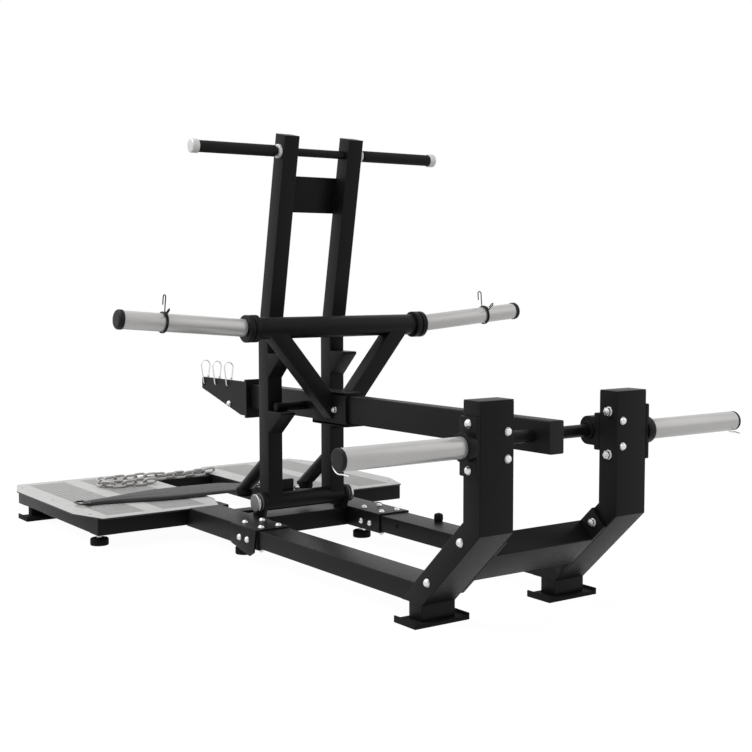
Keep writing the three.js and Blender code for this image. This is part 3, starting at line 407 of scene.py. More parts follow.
def plainCoat(name, level, tones, rough, bump, cloud, grain, relief=None, seam=None, **constants):
    # A grey that drifts by one noise between two tones, each a share of its level and a warmth, with its gloss by
    # another noise and its bump by a third. A seam adds a hairline joint at a height
    f = Finish(name, **constants)
    low, high = [grey(level * share, warm) for share, warm in tones]
    f.wear(Base_Color=f.mixed(f.noise(*cloud), low, high), Roughness=f.span(f.noise(*grain), *rough))
    height = f.noise(*(relief or grain))
    if seam:
        grainShare, sharpness, depth = 0.12, 900.0, 6.0
        height = height * grainShare + ((f.z - seam).absolute() * sharpness).smaller(1.0) * depth
    f.bump(height, *bump)
    return f.material


def powderCoat(name, level=0.0075, shine=0.1, seam=None):
    # Black powder coat: fine orange peel, and a gloss that drifts a little
    return plainCoat(name, level, ((0.85, 0), (1.2, 0)), (0.34, 0.46), (0.00012, 0.5), (9.0, 3.0), (60.0, 3.0),
                     (1400.0, 2.0), seam, Specular_IOR_Level=shine)


def turnedSteel(level=0.5):
    # Satin plated tube: fine turning lines round the X axis, and soft blotches
    f = Finish("turnedSteel", Metallic=0.4, Specular_IOR_Level=0.35)
    lines = f.noise(1.0, 3.0, 0.6, f.stretched((2600.0, 30.0, 30.0)))
    cloud = f.noise(14.0, 3.0)
    f.wear(Base_Color=f.mixed(cloud, grey(level * 0.94, 0.012), grey(level * 1.05, 0.012)),
           Roughness=f.span(lines, 0.26, 0.38))
    f.bump(lines, 0.00004, 0.35)
    return f.material


def mattFace(name, level, shine):
    # Dull plated ends and collars, nearly flat in tone
    return plainCoat(name, level, ((0.88, 0.02), (1.1, 0.02)), (0.4, 0.55), (0.0001, 0.3), (160.0, 3.0),
                     (160.0, 3.0), Metallic=shine, Specular_IOR_Level=0.35)


def brightZinc(name, level, rough):
    # Bright plating on bolts, wires and links, with faint tarnish
    return plainCoat(name, level, ((0.86, 0.015), (1.08, 0.01)), rough, (0.00003, 0.3), (120.0, 3.0), (120.0, 3.0),
                     (900.0, 2.0), Metallic=1.0)


def gripFoam(level=0.008, pitch=0.0034):
    # Rubber grip sleeve with fine rings along it, a sine of the way along X
    f = Finish("gripFoam", Specular_IOR_Level=0.15)
    rings = (f.x * (2 * pi / pitch)).sine() * 0.5 + 0.5
    grain = f.noise(1200.0, 3.0)
    f.wear(Base_Color=f.mixed(f.noise(40.0), grey(level * 0.8), grey(level * 1.3)),
           Roughness=f.span(grain, 0.55, 0.8))
    f.bump(rings * 0.7 + grain * 0.3, 0.0003, 0.6)
    return f.material


treadLook = {"pitch": 0.016, "finePitch": 0.011, "low": 0.17, "high": 0.53, "top": 0.1029, "outer": (0.400, 0.527),
             "inner": (0.190, 0.340), "length": (-1.051, -0.368), "rearLine": -0.52}


def treadSteel():
    # Pressed tread whose sides and underside are painted near-black as shade. Two sunk panels lie in a smooth
    # border: grooves along Y in the outer one, bumps in the inner one, and grooves along X in the rear of both; the
    # panels and their grooves are painted darker as shade
    f = Finish("treadSteel", Specular_IOR_Level=0.4)

    def between(signal, span):
        return signal.above(span[0]) * (1 - signal.above(span[1]))
    side = f.x.absolute()
    outer, inner = between(side, treadLook["outer"]), between(side, treadLook["inner"])
    panel = (outer + inner) * between(f.y, treadLook["length"])
    rear = f.y.above(treadLook["rearLine"])
    turn, fineTurn = 2 * pi / treadLook["pitch"], 2 * pi / treadLook["finePitch"]
    alongY = ((side * turn).sine() * 0.5 + 0.5).power(3.0)
    bumps = ((f.x * turn).sine() * (f.y * turn * 0.5).sine()).absolute()
    alongX = ((f.y * fineTurn).sine() * 0.5 + 0.5).power(2.0)
    pattern = (alongY * outer + bumps * inner) * (1 - rear) + alongX * rear
    # Painted shade: the sunk panels are darker in colour, darkest where their pattern is lowest
    dentShade = (pattern * 0.5 + 0.5) * panel
    cloud = f.noise(34.0, 5.0, 0.6)
    # Painted shade: below the top face, the plate's sides and underside are near-black
    top = f.z.above(treadLook["top"])
    plain = f.mixed(cloud * 0.5 + 0.6 - dentShade * 0.8, grey(treadLook["low"], 0.008), grey(treadLook["high"], 0.008))
    f.wear(Base_Color=f.mixed(top, grey(0.008), plain), Metallic=top * 0.2, Roughness=f.span(cloud, 0.42, 0.6))
    f.bump((1 - pattern * panel) * top, 0.0007, 0.5)
    return f.material


def beltWeb(level=0.06, pitchX=0.0032, pitchY=0.0024):
    # Woven webbing: a basket of two crossed sine waves
    f = Finish("beltWeb", Specular_IOR_Level=0.25, Sheen_Weight=0.25, Sheen_Roughness=0.5)
    weave = (f.x * (2 * pi / pitchX)).sine() * (f.y * (2 * pi / pitchY)).sine()
    fuzz = f.noise(900.0, 4.0)
    f.wear(Base_Color=f.mixed(weave * 0.3 + fuzz * 0.6, grey(level * 0.6), grey(level * 1.5)),
           Roughness=f.span(fuzz, 0.72, 0.92))
    f.bump(weave * 0.6 + fuzz * 0.4, 0.0004, 0.7)
    return f.material


# Looks: a slot and a material
black = "frame_black", powderCoat("powderCoat")
mastCoat = "frame_black", powderCoat("mastCoat", seam=0.276)
dullBlack = "frame_black", powderCoat("dullBlack", 0.004, 0.05)
steel = "satin_steel", turnedSteel()
zinc = "chrome", brightZinc("brightZinc", 0.72, (0.28, 0.42))
wireZinc = "chrome", brightZinc("wireZinc", 0.78, (0.3, 0.45))
darkRing = "chrome", brightZinc("darkRing", 0.04, (0.15, 0.25))
dullZinc = "chrome", brightZinc("dullZinc", 0.3, (0.35, 0.5))
# Brighter plating on the shaft disc's rim is a painted highlight
rimHighlightZinc = "chrome", brightZinc("rimHighlightZinc", 0.45, (0.3, 0.4))
discFace = "chrome", mattFace("mattFace", 0.2, 0.35)
chainGrey = "chrome", mattFace("chainGrey", 0.42, 0.3)
# Dark plating of the shaft and seats: partly their own tone, partly painted shade for the gap behind each disc
seatPlatingAndShade = "chrome", mattFace("seatPlatingAndShade", 0.09, 0.3)
knobFace = "chrome", mattFace("knobFace", 0.6, 0.35)
rubber = "rubber", plainCoat("mouldedRubber", 0.006, ((0.8, 0), (1.35, 0)), (0.62, 0.85), (0.0002, 0.5), (25.0, 3.0),
                             (700.0, 4.0, 0.65), Specular_IOR_Level=0.12)
foam = "rubber", gripFoam()
plastic = "black_plastic", plainCoat("mouldedPlastic", 0.011, ((0.85, 0), (1.25, 0)), (0.38, 0.55), (0.0001, 0.4),
                                     (30.0,), (1600.0, 3.0), Specular_IOR_Level=0.15)
clipBlack = "chrome", plastic[1]
tread = "tread_steel", treadSteel()
webbing = "webbing", beltWeb()
finishOfSlot = dict([black, steel, zinc, tread, rubber, plastic, webbing])
slotOfNode = {part["node"]: part["material_slot"] for part in frame["record"]["subparts"]}
for nodeName, nodeObject in frame["nodes"].items():
    for materialSlot in nodeObject.material_slots:
        materialSlot.material = finishOfSlot[slotOfNode[nodeName]]
print("finishes made")

# Pieces on both sides

bothSides = (("right", 1.0), ("left", -1.0))


def sided(part, sign):
    # The part as made for +X, or its mirror image
    return part if sign > 0 else mirroredX(part)


def makePair(name, part, body, look, node=None, onLever=False, angle=sharpAngle):
    # The part on both sides, each standing for the node of its side; a body's {} becomes the side
    for side, sign in bothSides:
        makePiece(f"{name}_{side}", sided(part, sign), body.format(side), look, node and f"{node}_{side}", onLever,
                  angle)


# Rear uprights: rear and front edge lines in (y, z). An edge is a rim's radius and a corner's.

upright = {"centre": 213.0, "width": 100.0, "depth": 60.0, "top": 550.0, "bend": 249.0, "run": 210.0,
           "foot": 50.0, "corner": 3.0}
stub = {"half": 51.0, "length": 52.0, "setback": 1.5, "high": (10.4, 52.0), "edge": (1.5, 3.0)}
lid = {"high": (550.3, 553.3), "edge": (1.2, 3.0), "inset": 4.0, "plugHigh": (537.0, 551.0), "plugEdge": (0.5, 3.0)}
legWay = unit(np.array([-upright["run"], upright["foot"] - upright["bend"]]))
legSide = np.array([legWay[1], -legWay[0]])


def legPoint(along, offset=0.0):
    # A point on the slanted leg: along its rear face from the bend, and in from that face
    return np.array([0.0, upright["bend"]]) + legWay * along + legSide * offset


def legCut(offset, y=None, z=None):
    # Where the line at an offset crosses a given y or z
    start = legPoint(0.0, offset)
    along = (y - start[0]) / legWay[0] if y is not None else (z - start[1]) / legWay[1]
    return legPoint(along, offset)


depth, across = upright["depth"], about(upright["centre"], upright["width"] / 2)
uprightPairs = [((0, upright["top"]), (-depth, upright["top"])),
                ((0, upright["bend"]), legCut(depth, y=-depth)),
                (legCut(0, z=upright["foot"]), legCut(depth, z=upright["foot"]))]
stubRear = legCut(0, z=upright["foot"])[0] - stub["setback"]
stubPart = box(about(upright["centre"], stub["half"]), (stubRear - stub["length"], stubRear), stub["high"],
               "Z", *stub["edge"])
makePair("uprightTube", joined(pairTube(uprightPairs, across, "X", upright["corner"]), stubPart),
         "frame", black, "rear_upright")
lidPart = joined(box(across, (-depth, 0), lid["high"], "Z", *lid["edge"]),
                 box((across[0] + lid["inset"], across[1] - lid["inset"]), (lid["inset"] - depth, -lid["inset"]),
                     lid["plugHigh"], "Z", *lid["plugEdge"]))
makePair("uprightLid", lidPart, "frame", plastic, "upright_cap")

# Rubber tray feet

tray = {"width": 165.0, "length": 86.0, "floor": 10.0, "lip": 17.0, "lipWidth": 8.0, "overhang": 16.0,
        "corners": (1.2, 1.2, 1.5, 1.5, 2.0, 2.0, 1.5, 1.5), "rim": 1.2}


def trayFoot(x, y):
    # A dished pad: its section in (x, z) is a low channel, carried along Y
    w, t = tray["width"] / 2, tray["lipWidth"]
    section = [(-w, 0), (w, 0), (w, tray["lip"]), (w - t / 2, tray["lip"]), (w - t, tray["floor"]),
               (t - w, tray["floor"]), (t / 2 - w, tray["lip"]), (-w, tray["lip"])]
    section = filleted([(x + u, v) for u, v in section], tray["corners"], 3)
    return slab(section, *about(y, tray["length"] / 2), "Y", tray["rim"])


makePair("rearTray", trayFoot(upright["centre"], stubRear + tray["overhang"] - tray["length"] / 2),
         "frame", rubber, "rear_foot")

# Rear cross member, flanged at both ends

member = {"middle": 152.0, "width": 110.0, "depth": 60.0, "half": 162.7, "inset": 1.0, "edge": (0.5, 3.0)}
flange = {"length": 218.0, "thick": 9.0, "inset": 0.5, "edge": (1.0, 2.0)}


def slopeRect(length, low, high):
    # A rectangle in the leg's slope about the member's middle, in (y, z)
    a, b = about(member["middle"], length / 2)
    return [legPoint(a, low), legPoint(a, high), legPoint(b, high), legPoint(b, low)]


flangePart = slab(slopeRect(flange["length"], flange["inset"], depth - flange["inset"]),
                  member["half"] - flange["thick"], member["half"], "X", *flange["edge"])
memberPart = slab(slopeRect(member["width"], 0, member["depth"]), *about(0, member["half"] - member["inset"]),
                  "X", *member["edge"])
makePiece("crossMember", joined(memberPart, flangePart, mirroredX(flangePart)), "frame", black,
          "rear_cross_member")

# Base rails and their front sleeves: bottom and top edge lines in (y, z)

rail = {"bottom": 50.0, "top": 100.0, "front": -1150.0, "corner": 3.0, "inLeg": 4.0, "shy": 0.05}
sleeve = {"skin": 5.0, "rear": -988.0, "front": -1437.2, "notch": (-1417.3, -1416.8), "notchTop": 98.0,
          "corner": 3.0}
cheek = {"outline": ((-988.5, 104.0), (-1003.0, 36.0), (-1026.7, 23.0), (-1137.0, 45.0), (-1137.0, 104.0)),
         "sunk": 0.3, "thick": 5.0, "edge": (0.8, 2.0)}
railPairs = [((rail["front"], rail["bottom"]), (rail["front"], rail["top"])),
             (legCut(depth - rail["inLeg"], z=rail["bottom"]), legCut(depth - rail["inLeg"], z=rail["top"]))]
makePair("baseRail", pairTube(railPairs, (across[0] + rail["shy"], across[1] - rail["shy"]), "X", rail["corner"]),
         "frame", black, "base_rail")

sleeveSpan = (across[0] - sleeve["skin"], across[1] + sleeve["skin"])
sleeveLow, sleeveHigh = rail["bottom"] - sleeve["skin"], rail["top"] + sleeve["skin"]
sleevePairs = [((y, sleeveLow), (y, z)) for y, z in (
    (sleeve["front"], sleeve["notchTop"]), (sleeve["notch"][0], sleeve["notchTop"]),
    (sleeve["notch"][1], sleeveHigh), (sleeve["rear"], sleeveHigh))]
cheekPart = slab(cheek["outline"], sleeveSpan[1] - cheek["sunk"], sleeveSpan[1] + cheek["thick"], "X",
                 *cheek["edge"])
makePair("railSleeve", joined(pairTube(sleevePairs, sleeveSpan, "X", sleeve["corner"]), cheekPart),
         "frame", black, "front_rail_sleeve")

# Cross beams, and the lugs that hold the mast's shaft: offsets from its axis in (y, z)

beams = {"pivot": ((-1262.0, -1162.0), (45.0, 100.0)), "stop": ((-1350.0, -1298.0), (50.0, 100.0)),
         "edge": (0.5, 3.0)}
hub = {"y": -1172.0, "z": 146.0}
lug = {"span": (141.0, 153.0), "offsets": ((-47, -49), (15, -49), (30, -6), (30, 30), (-30, 30), (-30, -6)),
       "corners": (1, 1, 8, 29, 29, 8), "rim": 1.0}
beamSpan = about(0, sleeveSpan[0] - fit)
lugOutline = filleted(np.array(lug["offsets"]) + (hub["y"], hub["z"]), lug["corners"], 8)
lugPart = slab(lugOutline, *lug["span"], "X", lug["rim"])
makePiece("pivotBeam", joined(box(beamSpan, *beams["pivot"], "X", *beams["edge"]), lugPart, mirroredX(lugPart)),
          "frame", black, "pivot_cross_beam")
makePiece("stopBeam", box(beamSpan, *beams["stop"], "X", *beams["edge"]), "frame", black, "stop_cross_beam")

# The mast's shaft: a seat, a gap and a faced disc at each end, as (radius, height) from the lug. The seat's dark
# plating is partly its own tone and partly painted shade for the gap

shaft = {"radius": 12.5, "past": 1.0,
         "seat": (((0.01, 0), (28, 0), (28, 5), (21, 5.5), (21, 13), (0.01, 13)), (1, 1.5, 0.5, 0.5)),
         "disc": (((0.01, 12), (24.2, 12), (24.2, 19), (0.01, 19)), (1, 0.8)),
         "side": (((24, 11.5), (27.5, 11.5), (27.5, 18.7), (24, 18.7)), (1, 2.4))}
shaftEnd = lug["span"][1] + fit
endAt = (shaftEnd, hub["y"], hub["z"])
seatPart = turned(*shaft["seat"], "X", endAt)
shaftPart = joined(rod(shaft["radius"], *about(0, shaftEnd + shaft["past"]), "X", (0, hub["y"], hub["z"])),
                   seatPart, mirroredX(seatPart))
makePiece("mastShaft", shaftPart, "frame", seatPlatingAndShade, "mast_pivot_shaft")
makePair("shaftDisc", turned(*shaft["disc"], "X", endAt), "frame", discFace)
# The disc's rim is brighter than its face: a painted highlight
makePair("shaftDiscSide", turned(*shaft["side"], "X", endAt, closed=True, steps=5), "frame", rimHighlightZinc)

# Pillow-block bearings

bearing = {"x": (163.0, 201.0), "back": -60.3, "high": 45.5, "foot": 17.7, "nose": 35.5, "noseY": -128.0,
           "corners": (0.5, 0.5, 25.0, 25.0), "rim": 2.0, "inset": 1.0, "footEdge": (1.5, 3.0),
           "ring": (((15.8, 158), (23, 158), (23, 204.5), (15.8, 204.5)), 1.0)}
noseZ = about(pivotZ, bearing["nose"])
housing = filleted([(bearing["back"], noseZ[0]), (bearing["back"], noseZ[1]), (bearing["noseY"], noseZ[1]),
                    (bearing["noseY"], noseZ[0])], bearing["corners"], 12)
footSpan = (bearing["back"] - bearing["foot"], bearing["back"])
bearingPart = joined(slab(housing, bearing["x"][0] + bearing["inset"], bearing["x"][1] - bearing["inset"], "X",
                          bearing["rim"], steps=4),
                     box(bearing["x"], footSpan, about(pivotZ, bearing["high"]), "X", *bearing["footEdge"]),
                     turned(*bearing["ring"], "X", (0, pivotY, pivotZ), 48, True))
makePair("pillowBlock", bearingPart, "frame", black, "bearing_block")

# Storage horns

horn = {"y": -27.5, "z": 450.0, "root": 273.3, "end": 613.0, "sides": 96,
        "plate": ((263.3, 273.3), (-60.0, 0.0), (382.5, 517.5), "X", 1.0, 3.0),
        "ring": (((25, 272), (33.5, 272), (33.5, 294.3), (25, 294.3)), 1.2),
        "bar": (((21, 273), (25, 273), (25, 613), (21, 613)), 0.6), "cap": (9.0, 25.2, 3.5)}
snap = {"x": 617.0, "radius": 27.4, "drop": 2.4, "turn": (-0.42, -0.86), "wire": 1.6,
        "tail": ((-4, 22, -1.5), (-3, 14, -0.6), (-1, 7, 0))}
hornAxis = (0, horn["y"], horn["z"])
hornRing = turned(*horn["ring"], "X", hornAxis, closed=True)
hornBar = turned(*horn["bar"], "X", hornAxis, horn["sides"], True)


def tubeCap(start, length=16.0, radius=25.0, round=8.0):
    # A domed plug: a flat-faced disc whose outer edge is a wide quarter round
    return rounded([(0.01, start - 12), (20.7, start - 12), (20.7, start), (radius, start), (radius, start + length),
                    (0.01, start + length)], [1, 0.2, 0.8, round], 8)


for side, sign in bothSides:
    makePiece(f"hornBar_{side}", sided(hornBar, sign), "frame", steel, f"storage_horn_{side}")
    makePiece(f"hornPlate_{side}", sided(joined(box(*horn["plate"]), hornRing), sign), "frame", black)
makePair("hornCap", lathe(tubeCap(horn["end"] + fit, *horn["cap"]), "X", hornAxis, horn["sides"]), "frame", plastic,
         "horn_cap")

# A wire ring that hangs under the end of each horn: x fixed, y and z round a circle below the axis
ringTurn = np.linspace(*snap["turn"], 24) * pi
snapLine = np.stack([0 * ringTurn + snap["x"], horn["y"] + snap["radius"] * np.cos(ringTurn),
                     horn["z"] - snap["drop"] + snap["radius"] * np.sin(ringTurn)], 1)
snapPath = smoothLine(np.concatenate([snapLine[0] + np.array(snap["tail"]), snapLine]), 160)
makePair("hornSnapRing", wire(snapPath, snap["wire"], 8, False, wireNormal), "frame", wireZinc, angle=60)

# Platform: bars of two directions, the ends of one sunk a hair into the faces of the other

deck = {"rear": -1437.5, "front": -2135.5, "half": 565.0, "bar": 64.0, "high": (47.0, 98.0),
        "sunkHigh": (47.05, 97.95), "shy": 0.1, "edge": (0.6, 3.0),
        "slot": 118.0, "slotFront": -2007.5, "slotBar": 66.0, "slotPast": 1.0, "slotEdge": (0.6, 2.0)}
plate = {"inner": 116.0, "side": 600.0, "rear": -1417.0, "front": -2180.0, "innerClip": (49.0, 124.0),
         "outerClip": (45.0, 128.0), "high": (98.3, 104.3), "corners": (4, 8, 8, 4, 6, 8, 8, 6), "rim": 1.6}
screw = {"x": (-563, -228, 228, 563), "y": (-2100, -1815, -1500), "radius": 4.2, "high": 0.9, "rim": 0.4}
deckEnd = deck["half"] - deck["shy"]
deckBars = [box(about(0, deckEnd), (deck["front"], deck["front"] + deck["bar"]), deck["high"], "X", *deck["edge"]),
            box(about(0, deck["slot"] + deck["slotPast"]), (deck["slotFront"] - deck["slotBar"], deck["slotFront"]),
                deck["sunkHigh"], "X", *deck["slotEdge"])]
sideY = (deck["front"] + deck["shy"], deck["rear"] - deck["shy"])
sideBars = ((deck["half"] - deck["bar"], deck["half"]), (deck["slot"] + 0.05, deck["slot"] + deck["bar"] - 0.05))
for side, sign in bothSides:
    for near, far in sideBars:
        deckBars.append(box(sorted((sign * near, sign * far)), sideY, deck["sunkHigh"], "Y", *deck["edge"]))
    deckBars.append(box(sorted((sign * deck["slot"], sign * deckEnd)), (deck["rear"] - deck["bar"], deck["rear"]),
                        deck["high"], "X", *deck["edge"]))
makePiece("deckFrame", joined(*deckBars), "frame", black, "platform_frame")

(clipX, clipY), (clipOutX, clipOutY) = plate["innerClip"], plate["outerClip"]
plateOutline = [(plate["inner"] + clipX, plate["front"]), (plate["inner"], plate["front"] + clipY),
                (plate["inner"], plate["rear"] - clipY), (plate["inner"] + clipX, plate["rear"]),
                (plate["side"] - clipOutX, plate["rear"]), (plate["side"], plate["rear"] - clipOutY),
                (plate["side"], plate["front"] + clipOutY), (plate["side"] - clipOutX, plate["front"])]
makePair("treadPlate", slab(filleted(plateOutline, plate["corners"], 4), *plate["high"], "Z", plate["rim"]),
         "frame", tread, "tread_plate")
screwHead = rod(screw["radius"], 0, screw["high"], "Z", rim=screw["rim"], sides=20)
screwHeads = [aimed(screwHead, (x, y, plate["high"][1]), (0, 0, 1)) for x in screw["x"] for y in screw["y"]]
makePiece("treadScrews", joined(*screwHeads), "frame", dullZinc)

pad = {"x": 495.5, "y": -2063.0, "stub": ((448.5, 542.5), (-2105.8, -2071.8), (9.0, 46.7), "Z", 1.0, 3.0)}
makePair("frontTray", joined(trayFoot(pad["x"], pad["y"]), box(*pad["stub"])), "frame", rubber, "front_foot")

# Levelling feet

foot = {"puck": (((0.01, 0), (27.5, 0), (28.5, 3), (28.5, 19), (25.5, 22), (0.01, 22)), (1, 1, 1.5, 1.5)),
        "stem": 5.6, "ridge": 0.4, "pitch": 1.75, "low": 21.0,
        "nut": (((0.01, 22.2), (9, 22.2), (9, 29), (0.01, 29)), 0.8),
        "places": (("rail", 213.0, -1161.5, 61.4), ("platform", 521.0, -1532.0, 94.7))}


def levellingFoot(x, y, top):
    # A rubber puck under a jam nut and a threaded stem whose ridges are a sine of its height
    low = foot["low"]
    height = np.linspace(low, top, 60)
    ridges = np.stack([foot["stem"] + foot["ridge"] * np.sin(height * 2 * pi / foot["pitch"]), height], 1)
    stem = lathe(np.concatenate([[(0.01, low)], ridges, [(0.01, top)]]), "Z", (x, y, 0), 24)
    nut = turned(*foot["nut"], "Z", (x, y, 0), 6)
    return turned(*foot["puck"], "Z", (x, y, 0), 48), joined(stem, nut)


for name, x, y, top in foot["places"]:
    puck, stem = levellingFoot(x, y, top)
    for side, sign in bothSides:
        body = f"{name}_foot_{side}"
        makePiece(f"{name}Puck_{side}", sided(puck, sign), body, rubber, f"{name}_levelling_foot_{side}")
        makePiece(f"{name}Stem_{side}", sided(stem, sign), body, zinc)
print("frame dressed")

# Lever, in its own frame: the pivot is the origin

lever = {"half": 22.0, "halfHigh": 40.0, "front": -1355.0, "tail": 62.0, "edge": (0.6, 4.0), "plug": 3.0,
         "plugEdge": (1.0, 4.0), "shaft": 15.5, "shaftHalf": 205.0, "shaftRim": 1.5}
restBar = {"y": -1018.0, "radius": 13.0, "half": 128.0, "rim": 1.5, "catchTop": 426.7}
beamWide, beamHigh, plugAt = about(0, lever["half"]), about(0, lever["halfHigh"]), lever["tail"] + fit
makePiece("leverBeam", box(beamWide, (lever["front"], lever["tail"]), beamHigh, "Y", *lever["edge"]),
          "lever", black, "lever_beam", True)
makePiece("beamPlug", box(beamWide, (plugAt, plugAt + lever["plug"]), beamHigh, "Y", *lever["plugEdge"]),
          "lever", plastic, "lever_beam_plug", True)
makePiece("leverShaft", rod(lever["shaft"], *about(0, lever["shaftHalf"]), "X", rim=lever["shaftRim"]),
          "lever", black, "lever_shaft", True)

# The bar lies on the mast's lower catches: its height in the lever's frame allows for the droop there
restBarZ = restBar["catchTop"] + fit + restBar["radius"] - pivotZ - leverTilt * restBar["y"]
makePiece("restBar", rod(restBar["radius"], *about(0, restBar["half"]), "X", (0, restBar["y"], restBarZ),
                         restBar["rim"]), "lever", dullBlack, "rest_bar", True)

hook = {"rear": -1355.3, "thick": 12.0, "length": 366.0, "top": 43.5, "rim": 1.2, "holeDrop": 23.0,
        "holeAt": (19.0, 103.0, 187.0)}
hookFace = hook["rear"] - hook["thick"]
hookTip = hookFace - hook["length"]


def makeSoftened(name, node, body, look, rim):
    # The solid's own mesh with its flat faces made whole and its edges bevelled by the rim
    piece = addPiece(name, frame["nodes"][node].data.copy(), wholeFaces, body, look, node)
    bevel = piece.modifiers.new("rim", "BEVEL")
    bevel.width, bevel.segments, bevel.limit_method, bevel.angle_limit = rim / 1000, 2, "ANGLE", radians(40)


makeSoftened("hookPlate", "hook_plate", "lever", black, hook["rim"])

# Saddle: a lid and a floor, and two cheeks a little lower

saddle = {"half": 32.0, "y": (-965.0, -785.0), "edge": (1.2, 2.0),
          "walls": (((-32, 32), (40.3, 50)), ((-32, 32), (-50, -40.3)), ((22.3, 32), (-49, 49)),
                    ((-32, -22.3), (-49, 49)))}
makePiece("leverSaddle", joined(*[box(wide, saddle["y"], high, "Y", *saddle["edge"])
                                  for wide, high in saddle["walls"]]), "lever", black, "lever_saddle", True)

# V legs and the cross tube with its grooved collars

cross = {"back": -875.0, "rise": 239.6, "radius": 31.0, "half": 290.0, "rim": 1.0,
         "collar": ((30, 272), (39, 272), (39, 289), (34.5, 289), (34.5, 294), (39, 294), (39, 309), (16, 309)),
         "collarRims": (1.5, 1.5, 0.8, 0.8, 1.5, 2.0)}
vee = {"slope": 1.213, "spread": 197.0, "drop": 33.0, "half": 25.0, "under": 16.0, "corner": 4.0}
veeRun = vee["half"] * hypot(1, 1 / vee["slope"])
veeFoot, veeTop = saddle["half"] + fit, cross["rise"] - vee["under"]


def veePoint(z, shift):
    # A point (x, z) on the leg's centre line moved sideways by the shift
    return vee["spread"] + (z - (cross["rise"] - vee["drop"])) / vee["slope"] + shift, z


def veeAtSaddle(shift):
    # Where a line of the leg meets the saddle's cheek
    return veeFoot, cross["rise"] - vee["drop"] + vee["slope"] * (veeFoot - vee["spread"] - shift)


veePairs = [(veeAtSaddle(veeRun), veeAtSaddle(-veeRun)), (veePoint(veeTop, veeRun), veePoint(veeTop, -veeRun))]
makePair("veeLeg", pairTube(veePairs, about(cross["back"], vee["half"]), "Y", vee["corner"]),
         "lever", black, "v_leg", True)

crossAxis = (0, cross["back"], cross["rise"])
(boreRadius, collarEnd), collarStart = cross["collar"][-1], cross["collar"][0][1]
collar = np.concatenate([rounded(cross["collar"], cross["collarRims"], 4), [(boreRadius, collarStart)]])
collarPart = lathe(collar, "X", crossAxis, 96, True)
tubePart = rod(cross["radius"], *about(0, cross["half"]), "X", crossAxis, cross["rim"], 96)
makePiece("crossTube", joined(tubePart, collarPart, mirroredX(collarPart)), "lever", black, "cross_tube", True)

# Load sleeves, canted up towards their ends

loader = {"cant": 0.084, "lift": 2.5, "tube": (((21, 2.2), (25, 2.2), (25, 370), (21, 370)), 0.6),
          "cap": (370.3, 16.0, 27.0)}


def canted(part):
    # Turn about Y so that +X rises by the cant, then move to the collar's outer face
    points, faces = part
    c, s = cos(loader["cant"]), sin(loader["cant"])
    swung = np.stack([points[:, 0] * c - points[:, 2] * s, points[:, 1], points[:, 0] * s + points[:, 2] * c], 1)
    return swung + (collarEnd + fit, cross["back"], cross["rise"] + loader["lift"]), faces


makePair("loadSleeve", canted(turned(*loader["tube"], "X", sides=96, closed=True)),
         "lever", steel, "load_sleeve", True)
makePair("sleeveCap", canted(lathe(tubeCap(*loader["cap"]), "X", sides=96)), "lever", plastic, "sleeve_cap", True)

# Carabiners: a pear of two arcs and their common tangents

pear = {"foot": 8.5, "head": 16.5, "rise": 66.0, "wire": 2.5, "steps": 24, "nut": 4.4, "nutHigh": (24.0, 33.0),
        "nutX": -10.4, "nutRim": 0.8}


def pearLine():
    # Foot arc, then head arc; a tangent joins them at the angle asin((head - foot) / (rise - foot))
    tilt = np.arcsin((pear["head"] - pear["foot"]) / (pear["rise"] - pear["foot"]))
    low = -pi / 2 + (pi / 2 - tilt) * np.linspace(-1, 1, pear["steps"])
    high = pi / 2 + (pi / 2 + tilt) * np.linspace(-1, 1, pear["steps"])
    x = np.concatenate([pear["foot"] * np.cos(low), pear["head"] * np.cos(high)])
    z = np.concatenate([pear["foot"] + pear["foot"] * np.sin(low), pear["rise"] + pear["head"] * np.sin(high)])
    return np.stack([x, 0 * x, z], 1)


pearPart = joined(wire(pearLine(), pear["wire"], 12, normal=(0, 1, 0)),
                  rod(pear["nut"], *pear["nutHigh"], "Z", (pear["nutX"], 0, 0), pear["nutRim"], 24))
for number, along in enumerate(hook["holeAt"], 1):
    makePiece(f"snapHook_{number}", moved(pearPart, (0, hookTip + along, hook["top"] - hook["holeDrop"])),
              f"carabiner_{number}", wireZinc, f"carabiner_{number}", True, 60)

# Spring clips: a helix with a tall hooked tail and a short one

clip = {"place": 251.0, "radius": 27.9, "wire": 1.7, "turns": 2.12, "pitch": 4.0, "bend": 5.0, "stem": 47.0,
        "hook": 15.0, "drop": 27.0, "tail": (24.0, 17.0), "loop": 5.0, "lead": 5.0, "steps": 48, "samples": 420}


def clipLine():
    # A hook, a stem, the coil (x, r sin a, r cos a) and a tail that is bent back on itself, then smoothed
    radius, half = clip["radius"], clip["pitch"] * clip["turns"] / 2
    start, top = np.arcsin(clip["bend"] / radius), radius + clip["stem"]
    a = np.linspace(start, start + 2 * pi * clip["turns"], clip["steps"])
    coil = np.stack([np.linspace(-half, half, clip["steps"]), radius * np.sin(a), radius * np.cos(a)], 1)
    bow, turn = clip["hook"] / 2, np.linspace(pi, 0, 7)
    bend = np.stack([0 * turn - half, bow * (np.cos(turn) - 1), top - bow + bow * np.sin(turn)], 1)
    out = np.array([0, *clip["tail"]])
    side = np.array([0, -clip["tail"][1], clip["tail"][0]]) / hypot(*clip["tail"]) * clip["loop"]
    tail = [coil[-1] + out * share + side * step
            for share, step in ((0.5, 0), (0.9, 0), (1, 0.5), (0.9, 1), (0.35, 1))]
    points = [[(-half, -clip["hook"], top - clip["drop"])], bend, [(-half, 0, radius + clip["lead"])], coil, tail]
    return smoothLine(np.concatenate(points), clip["samples"])


clipPart = canted(moved(wire(clipLine(), clip["wire"], 8, False, wireNormal), (clip["place"], 0, 0)))
makePair("springWire", clipPart, "clip_{}", clipBlack, "spring_clip", True, 60)
print("lever dressed")

# Mast: rear and front edge lines in (y, z)

